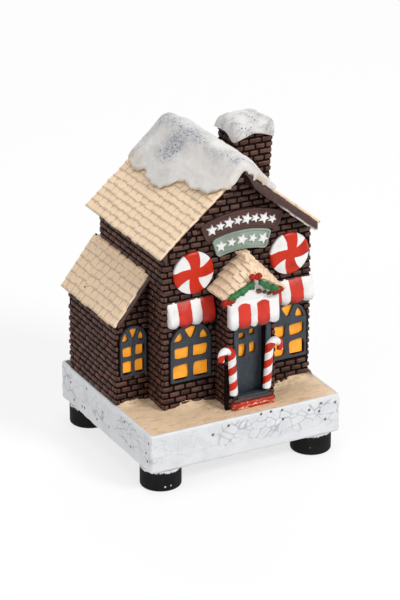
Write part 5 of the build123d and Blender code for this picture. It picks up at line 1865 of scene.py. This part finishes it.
def sign(name, radius, band, finish, slot, stars, star_size):
    """A curved board with a raised rim and a row of small stars."""
    node = "sign_" + name
    low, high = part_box(node)
    thick = high.y - low.y
    half = math.asin((high.x - low.x) / 2 / radius)
    bm = bmesh.new()
    bmesh.ops.create_grid(bm, x_segments=40, y_segments=6, size=0.5)
    for vert in bm.verts:
        a, b = vert.co.x * 2, vert.co.y
        turn = a * half
        pinch = 1.0 - 0.24 * smooth_step(abs(a), 0.9, 1.0) ** 2
        r = radius - band / 2 + b * band * pinch
        vert.co = Vector((r * math.sin(turn), r * math.cos(turn) - radius, 0.0))
    raised(bm, thick - SIGN_RIM)
    outward(bm)
    face = [f for f in bm.faces if f.calc_center_median().z > thick / 2 and f.normal.z > 0.9]
    rim = bmesh.ops.inset_region(bm, faces=face, thickness=0.75 * MM, use_even_offset=True)["faces"]
    lift = only(bmesh.ops.extrude_face_region(bm, geom=rim)["geom"], bmesh.types.BMVert)
    bmesh.ops.translate(bm, verts=lift, vec=(0, 0, SIGN_RIM))
    outward(bm)
    sharp = [e for e in upper_edges(bm, thick / 2) if e.calc_face_angle(0.0) > 0.8]
    rounded(bm, sharp, 0.14 * MM, 2)
    place = on_front((low.x + high.x) / 2, high.y, high.z)
    bm.transform(place)
    flatten(dressed(bm, node, "board", finish))
    bm = bmesh.new()
    for i in range(stars):
        turn = half * 0.78 * (2 * i / (stars - 1) - 1)
        r = radius - band / 2
        grow = 1.0 if i % 2 == 0 else 0.8
        at = (r * math.sin(turn), r * math.cos(turn) - radius, thick - 0.4 * MM)
        star(bm, at, star_size * grow, 0.6 * MM, -turn)
    bm.transform(place)
    flatten(piece(bm, node + "_stars", [white_finish()]))


def garland(name, side, lower):
    """One half of the porch garland: a lumpy green rope along the gable's edge."""
    node = "garland_" + name
    low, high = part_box(node)
    radius = 1.4 * MM
    y = (low.y + high.y) / 2
    start = Vector((low.x if side > 0 else high.x, y, high.z - radius))
    end = Vector((high.x if side > 0 else low.x, y, low.z + radius - lower))
    start += (end - start) * GARLAND_GAP
    steps = 40
    line = (end - start).normalized()
    turn = UP.rotation_difference(line).to_matrix().to_4x4()
    bm = bmesh.new()
    places = [Matrix.Translation(start) @ turn @ Matrix.Scale(radius * 0.5, 4)]
    for i in range(1, steps + 1):
        share = i / steps
        lump = 0.86 + 0.16 * math.sin(share * 19.0 + side) + 0.1 * math.sin(share * 41.0)
        lump *= min(1.0, 0.5 + 4 * share, 0.5 + 4 * (1 - share))
        at = start + (end - start) * share - UP * (0.5 * MM * math.sin(share * math.pi))
        places.append(Matrix.Translation(at) @ turn @ Matrix.Scale(radius * lump, 4))
    tube(bm, 20, places)
    for vert in bm.verts:
        vert.co += vert.normal * noise.noise(vert.co / (0.7 * MM)) * 0.14 * MM
    dressed(bm, node, "rope", green_finish())


def blob(bm, at, scale, turn, seed):
    """A soft lump that bows and twigs are built from."""
    place = Matrix.Translation(at) @ Matrix.Rotation(turn, 4, "Y") @ Matrix.Diagonal((*scale, 1.0))
    made = bmesh.ops.create_icosphere(bm, subdivisions=3, radius=1.0, matrix=place)["verts"]
    for vert in made:
        away = (vert.co - at).normalized()
        vert.co += away * noise.noise(vert.co / (1.1 * MM) + Vector((seed, 0, 0))) * 0.16 * MM


def bow(name, seed, aside, up):
    """A small ribbon bow: two loops, a knot and two short tails."""
    node = "bow_" + name
    low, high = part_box(node)
    centre = (low + high) / 2 + Vector((aside, 0.0, up))
    half = (high.x - low.x) / 2
    rng = random.Random(seed)
    bm = bmesh.new()
    for side in (-1, 1):
        lean = side * rng.uniform(0.25, 0.5)
        loop = centre + Vector((side * half * 0.52, 0.0, 0.25 * MM))
        blob(bm, loop, (half * 0.5, 1.15 * MM, 1.05 * MM), lean, seed + side)
        tail = centre + Vector((side * half * 0.4, 0.25 * MM, -1.0 * MM))
        blob(bm, tail, (half * 0.36, 0.8 * MM, 0.5 * MM), side * 0.9, seed + 3 * side)
    blob(bm, centre + Vector((0, -0.45 * MM, 0)), (0.75 * MM, 0.85 * MM, 0.85 * MM), 0.0, seed)
    dressed(bm, node, "ribbon", red_finish())


def garland_twigs():
    """Brown and gold bits tucked under the garland's peak and beside its right bow."""
    low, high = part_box("bow_top")
    centre = (low + high) / 2
    bm = bmesh.new()
    gable_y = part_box("porch_gable")[0].y
    for x, z, long, thick, turn, seed in (
        (-0.5, -4.0, 1.2, 0.5, 1.4, 1), (1.9, -6.2, 1.3, 0.9, 0.3, 2), (4.2, -7.0, 1.0, 0.6, 0.1, 3),
        (-0.8, -2.6, 0.9, 0.5, 1.8, 4), (6.2, -7.9, 1.1, 0.6, -0.2, 5), (8.2, -7.4, 1.1, 0.7, 0.4, 6),
        (-9.6, -7.4, 0.9, 0.6, 0.5, 7),
    ):
        y = gable_y - 1.0 * MM if abs(x) < 7 else centre.y + 0.2 * MM
        at = Vector((centre.x + x * MM, y, centre.z + z * MM))
        blob(bm, at, (long * MM, 0.7 * MM, thick * MM), turn, seed)
    piece(bm, "garland_twigs", [twig_finish()])


def porch_panel():
    """The white gable panel, soft at its edges where it runs into the awning."""
    low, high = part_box("porch_gable")
    half = (high.x - low.x) / 2
    rise = 0.58
    top = high.z - low.z
    spring = max(0.0, top - half * rise)
    bm = bmesh.new()
    foot = -0.5 * MM
    points = [(-half, foot), (half, foot), (half, spring), (0, top), (-half, spring)]
    plate(bm, points)
    raised(bm, high.y - low.y + 0.8 * MM)
    rounded(bm, upper_edges(bm, 0.1 * MM), 0.3 * MM, 3)
    bm.transform(on_front((low.x + high.x) / 2, high.y, low.z))
    flatten(dressed(bm, "porch_gable", "panel", white_finish()))


# Stage

LENS, SENSOR = 170.8, 36.0
CAMERA_PLACE = Vector((-0.4601, -0.8684, 0.4827))
CAMERA_LINE = Vector((0.4297, 0.8103, -0.3984))
LAMP_TARGET = Vector((0.0, 0.0, 0.055))
LAMPS = (
    ("key", (0.45, -0.9, 0.9), 0.4, 10.5),
    ("fill", (-1.0, -0.35, 0.6), 0.7, 3.2),
    ("top", (-0.1, 0.1, 1.3), 0.6, 3.5),
    ("back", (0.4, 0.9, 0.8), 0.7, 3.5),
)
WORLD_LIGHT, FLOOR_GLOW, FLOOR_GREY, FLOOR_HALF = 0.36, 0.72, 0.9, 6.0


# Operators


class VILLAGE_OT_stage(bpy.types.Operator):
    """Sets the camera, the soft lamps, the white world and the pale floor"""

    bl_idname = "village.stage"
    bl_label = "Stage"

    def execute(self, context):
        scene = context.scene
        scene.view_settings.view_transform = "Standard"
        eye = bpy.data.cameras.new("camera")
        eye.lens, eye.sensor_width = LENS, SENSOR
        eye.clip_start, eye.clip_end = 0.05, 20.0
        scene.camera = self.aimed(scene, eye, CAMERA_PLACE, CAMERA_LINE)
        for name, place, size, power in LAMPS:
            lamp = bpy.data.lights.new(name, "AREA")
            lamp.size, lamp.energy = size, power
            self.aimed(scene, lamp, place, LAMP_TARGET - Vector(place))
        self.light_world(scene)
        self.lay_floor(scene)
        return {"FINISHED"}

    def aimed(self, scene, data, place, line):
        """Puts a camera or a lamp at a place, looking along a line."""
        made = bpy.data.objects.new(data.name, data)
        made.location = place
        made.rotation_mode = "QUATERNION"
        made.rotation_quaternion = line.to_track_quat("-Z", "Y")
        scene.collection.objects.link(made)
        return made

    def seen(self, tree):
        """One where a ray comes from the camera, a reflection or glass."""
        rays = put(tree, "LightPath").outputs
        shown = worked(tree, "MAXIMUM", rays["Is Camera Ray"], rays["Is Glossy Ray"])
        return worked(tree, "MAXIMUM", shown, rays["Is Transmission Ray"])

    def light_world(self, scene):
        world = bpy.data.worlds.new("white studio")
        world.use_nodes = True
        tree = world.node_tree
        sky = tree.nodes["Background"]
        sky.inputs["Color"].default_value = (1, 1, 1, 1)
        strength = put(tree, "MapRange", {"Value": self.seen(tree), "To Min": WORLD_LIGHT, "To Max": 1.0})
        tree.links.new(strength.outputs["Result"], sky.inputs["Strength"])
        scene.world = world

    def lay_floor(self, scene):
        bm = bmesh.new()
        bmesh.ops.create_grid(bm, x_segments=1, y_segments=1, size=FLOOR_HALF)
        mesh = bpy.data.meshes.new("floor")
        bm.to_mesh(mesh)
        bm.free()
        made = bpy.data.materials.new("floor white")
        made.use_nodes = True
        tree = made.node_tree
        shader = tree.nodes["Principled BSDF"]
        shader.inputs["Base Color"].default_value = (FLOOR_GREY, FLOOR_GREY, FLOOR_GREY, 1)
        shader.inputs["Roughness"].default_value = 0.9
        shader.inputs["Specular IOR Level"].default_value = 0.0
        glow = put(tree, "Emission", {"Color": (1, 1, 1, 1), "Strength": 1.0})
        share = times(tree, self.seen(tree), FLOOR_GLOW)
        both = put(tree, "MixShader", {0: share, 1: shader.outputs[0], 2: glow.outputs[0]})
        clear = put(tree, "BsdfTransparent")
        under = put(tree, "NewGeometry").outputs["Backfacing"]
        shown = put(tree, "MixShader", {0: under, 1: both.outputs[0], 2: clear.outputs[0]})
        tree.links.new(shown.outputs[0], tree.nodes["Material Output"].inputs["Surface"])
        mesh.materials.append(made)
        floor = bpy.data.objects.new("floor", mesh)
        scene.collection.objects.link(floor)


class VILLAGE_OT_base(bpy.types.Operator):
    """Makes the stone plinth and the ground, and paints the feet"""

    bl_idname = "village.base"
    bl_label = "Plinth and ground"

    def execute(self, context):
        stone_plinth()
        snowy_ground()
        repaint(foot_finish(), "foot_front_left", "foot_front_right", "foot_back_left", "foot_back_right")
        return {"FINISHED"}


class VILLAGE_OT_bricks(bpy.types.Operator):
    """Lays bricks on the house, the wing, the bay and the chimney over their dark mortar"""

    bl_idname = "village.bricks"
    bl_label = "Bricks"

    def execute(self, context):
        repaint(mortar_and_shade_finish(), "house_walls", "wing_walls", "entrance_bay")
        lay_house_bricks()
        lay_wing_bricks()
        lay_bay_bricks()
        lay_chimney_bricks()
        return {"FINISHED"}


class VILLAGE_OT_roofs(bpy.types.Operator):
    """Shingles the main roof, the wing and the porch, and paints their boards"""

    bl_idname = "village.roofs"
    bl_label = "Roofs"

    def execute(self, context):
        size = sizes()
        # The wing roof board takes the near-black mortar colour as painted shade under the wing's verge.
        repaint(mortar_and_shade_finish(), "wing_roof_board")
        course, width = size.shingle_course, size.shingle_width
        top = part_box("roof_tiles_left")[1].z
        for side, seed, tilted in (("left", 41, 1.0), ("right", 42, 0.0)):
            name = "roof_tiles_" + side
            lay_slope(
                name + "_shingled", name, HOUSE_X, top, size.roof_pitch, size.tile_depth,
                course, width, 0.95 * MM, seed, tilted,
            )
        roof_boards()
        wing_verge()
        low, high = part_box("wing_roof_tiles")
        lay_slope(
            "wing_roof_shingled", "wing_roof_tiles", high.x, high.z, size.wing_pitch, size.wing_tile_depth,
            course * 1.05, width * 1.05, 0.8 * MM, 43,
        )
        wing_flashing()
        porch_roof("porch_tiles_left", -1, 44)
        porch_roof("porch_tiles_right", 1, 45)
        return {"FINISHED"}


class VILLAGE_OT_snow(bpy.types.Operator):
    """Lays the snow on the ridge and the chimney"""

    bl_idname = "village.snow"
    bl_label = "Snow"

    def execute(self, context):
        ridge_snow()
        chimney_snow()
        return {"FINISHED"}


class VILLAGE_OT_openings(bpy.types.Operator):
    """Makes the window frames, the amber panes, the door, its trim and the step"""

    bl_idname = "village.openings"
    bl_label = "Windows and door"

    def execute(self, context):
        window_frames()
        door_pieces()
        repaint(amber_finish(), "window_pane_left", "window_pane_right", "window_pane_wing", "door_panes")
        return {"FINISHED"}


class VILLAGE_OT_awnings(bpy.types.Operator):
    """Makes the three striped awnings and the white porch panel"""

    bl_idname = "village.awnings"
    bl_label = "Awnings"

    def execute(self, context):
        awning("left", (0.2, 0.29, 0.21, 0.3), False, 0.3 * MM, 0.0)
        awning("right", (0.31, 0.185, 0.275, 0.23), True, 0.3 * MM, 0.0, 1.3 * MM)
        awning("porch", (0.16, 0.25, 0.13, 0.25, 0.2), False, 1.6 * MM, 0.9 * MM)
        porch_panel()
        return {"FINISHED"}


class VILLAGE_OT_ornaments(bpy.types.Operator):
    """Makes the sweets, the signs, the candy canes, the garland and its bows"""

    bl_idname = "village.ornaments"
    bl_label = "Ornaments"

    def execute(self, context):
        peppermint("left", (15.0, 98.0, 195.0, 281.0))
        peppermint("right", (17.0, 90.0, 195.0, 283.0))
        sign("upper", 45.0 * MM, 7.5 * MM, brown_sign_finish(), "sign_brown", 8, 2.5 * MM)
        sign("lower", 40.0 * MM, 7.5 * MM, green_sign_finish(), "sign_green", 5, 2.5 * MM)
        for name, side, lower in (("left", -1, 0.2 * MM), ("right", 1, 1.8 * MM)):
            cane(name, side)
            garland(name, side, lower)
        bow("top", 50, -0.6 * MM, 0.7 * MM)
        bow("left", 51, 0.0, -0.3 * MM)
        bow("right", 52, -0.7 * MM, -1.0 * MM)
        garland_twigs()
        return {"FINISHED"}


class VILLAGE_OT_light_unit(bpy.types.Operator):
    """Finishes the light unit's own parts in the plinth"""

    bl_idname = "village.light_unit"
    bl_label = "Light unit"

    def execute(self, context):
        white = plastic_finish("unit plastic", paint("plastic"), 0.42)
        repaint(white, "light_housing", "light_lid", "battery_cap")
        black = plastic_finish("holder plastic", srgb(28, 28, 30), 0.5)
        repaint(black, "cell_holder", "switch_body", "switch_slider")
        repaint(plastic_finish("board green", srgb(34, 96, 58), 0.35), "circuit_board")
        repaint(plastic_finish("lamp clear", srgb(250, 232, 190), 0.12), "lamp")
        repaint(metal_finish("cell steel", srgb(200, 202, 205), 0.28), "coin_cell")
        repaint(metal_finish("contact metal", srgb(214, 196, 140), 0.3), "contact_side", "contact_top")
        repaint(metal_finish("screw steel", srgb(186, 188, 190), 0.35), "unit_screws")
        return {"FINISHED"}


OPERATORS = (
    VILLAGE_OT_stage,
    VILLAGE_OT_base,
    VILLAGE_OT_bricks,
    VILLAGE_OT_roofs,
    VILLAGE_OT_snow,
    VILLAGE_OT_openings,
    VILLAGE_OT_awnings,
    VILLAGE_OT_ornaments,
    VILLAGE_OT_light_unit,
)


class VILLAGE_PT_panel(bpy.types.Panel):
    """Lists the steps that dress the village house"""

    bl_label = "Village House"
    bl_space_type = "VIEW_3D"
    bl_region_type = "UI"
    bl_category = "Village House"

    def draw(self, context):
        for operator in OPERATORS:
            self.layout.operator(operator.bl_idname)
        for group_name in ("village_sizes", "village_colours"):
            values = getattr(context.scene, group_name)
            for name in values.__annotations__:
                self.layout.prop(values, name)


CLASSES = (VillageSizes, VillageColours, *OPERATORS, VILLAGE_PT_panel)


def register():
    for cls in CLASSES:
        bpy.utils.register_class(cls)
    bpy.types.Scene.village_sizes = PointerProperty(type=VillageSizes)
    bpy.types.Scene.village_colours = PointerProperty(type=VillageColours)


def unregister():
    del bpy.types.Scene.village_colours
    del bpy.types.Scene.village_sizes
    for cls in reversed(CLASSES):
        bpy.utils.unregister_class(cls)


def main():
    """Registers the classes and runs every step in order."""
    register()
    for operator in OPERATORS:
        family, step = operator.bl_idname.split(".")
        getattr(getattr(bpy.ops, family), step)()
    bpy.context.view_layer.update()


if __name__ == "__main__":
    main()
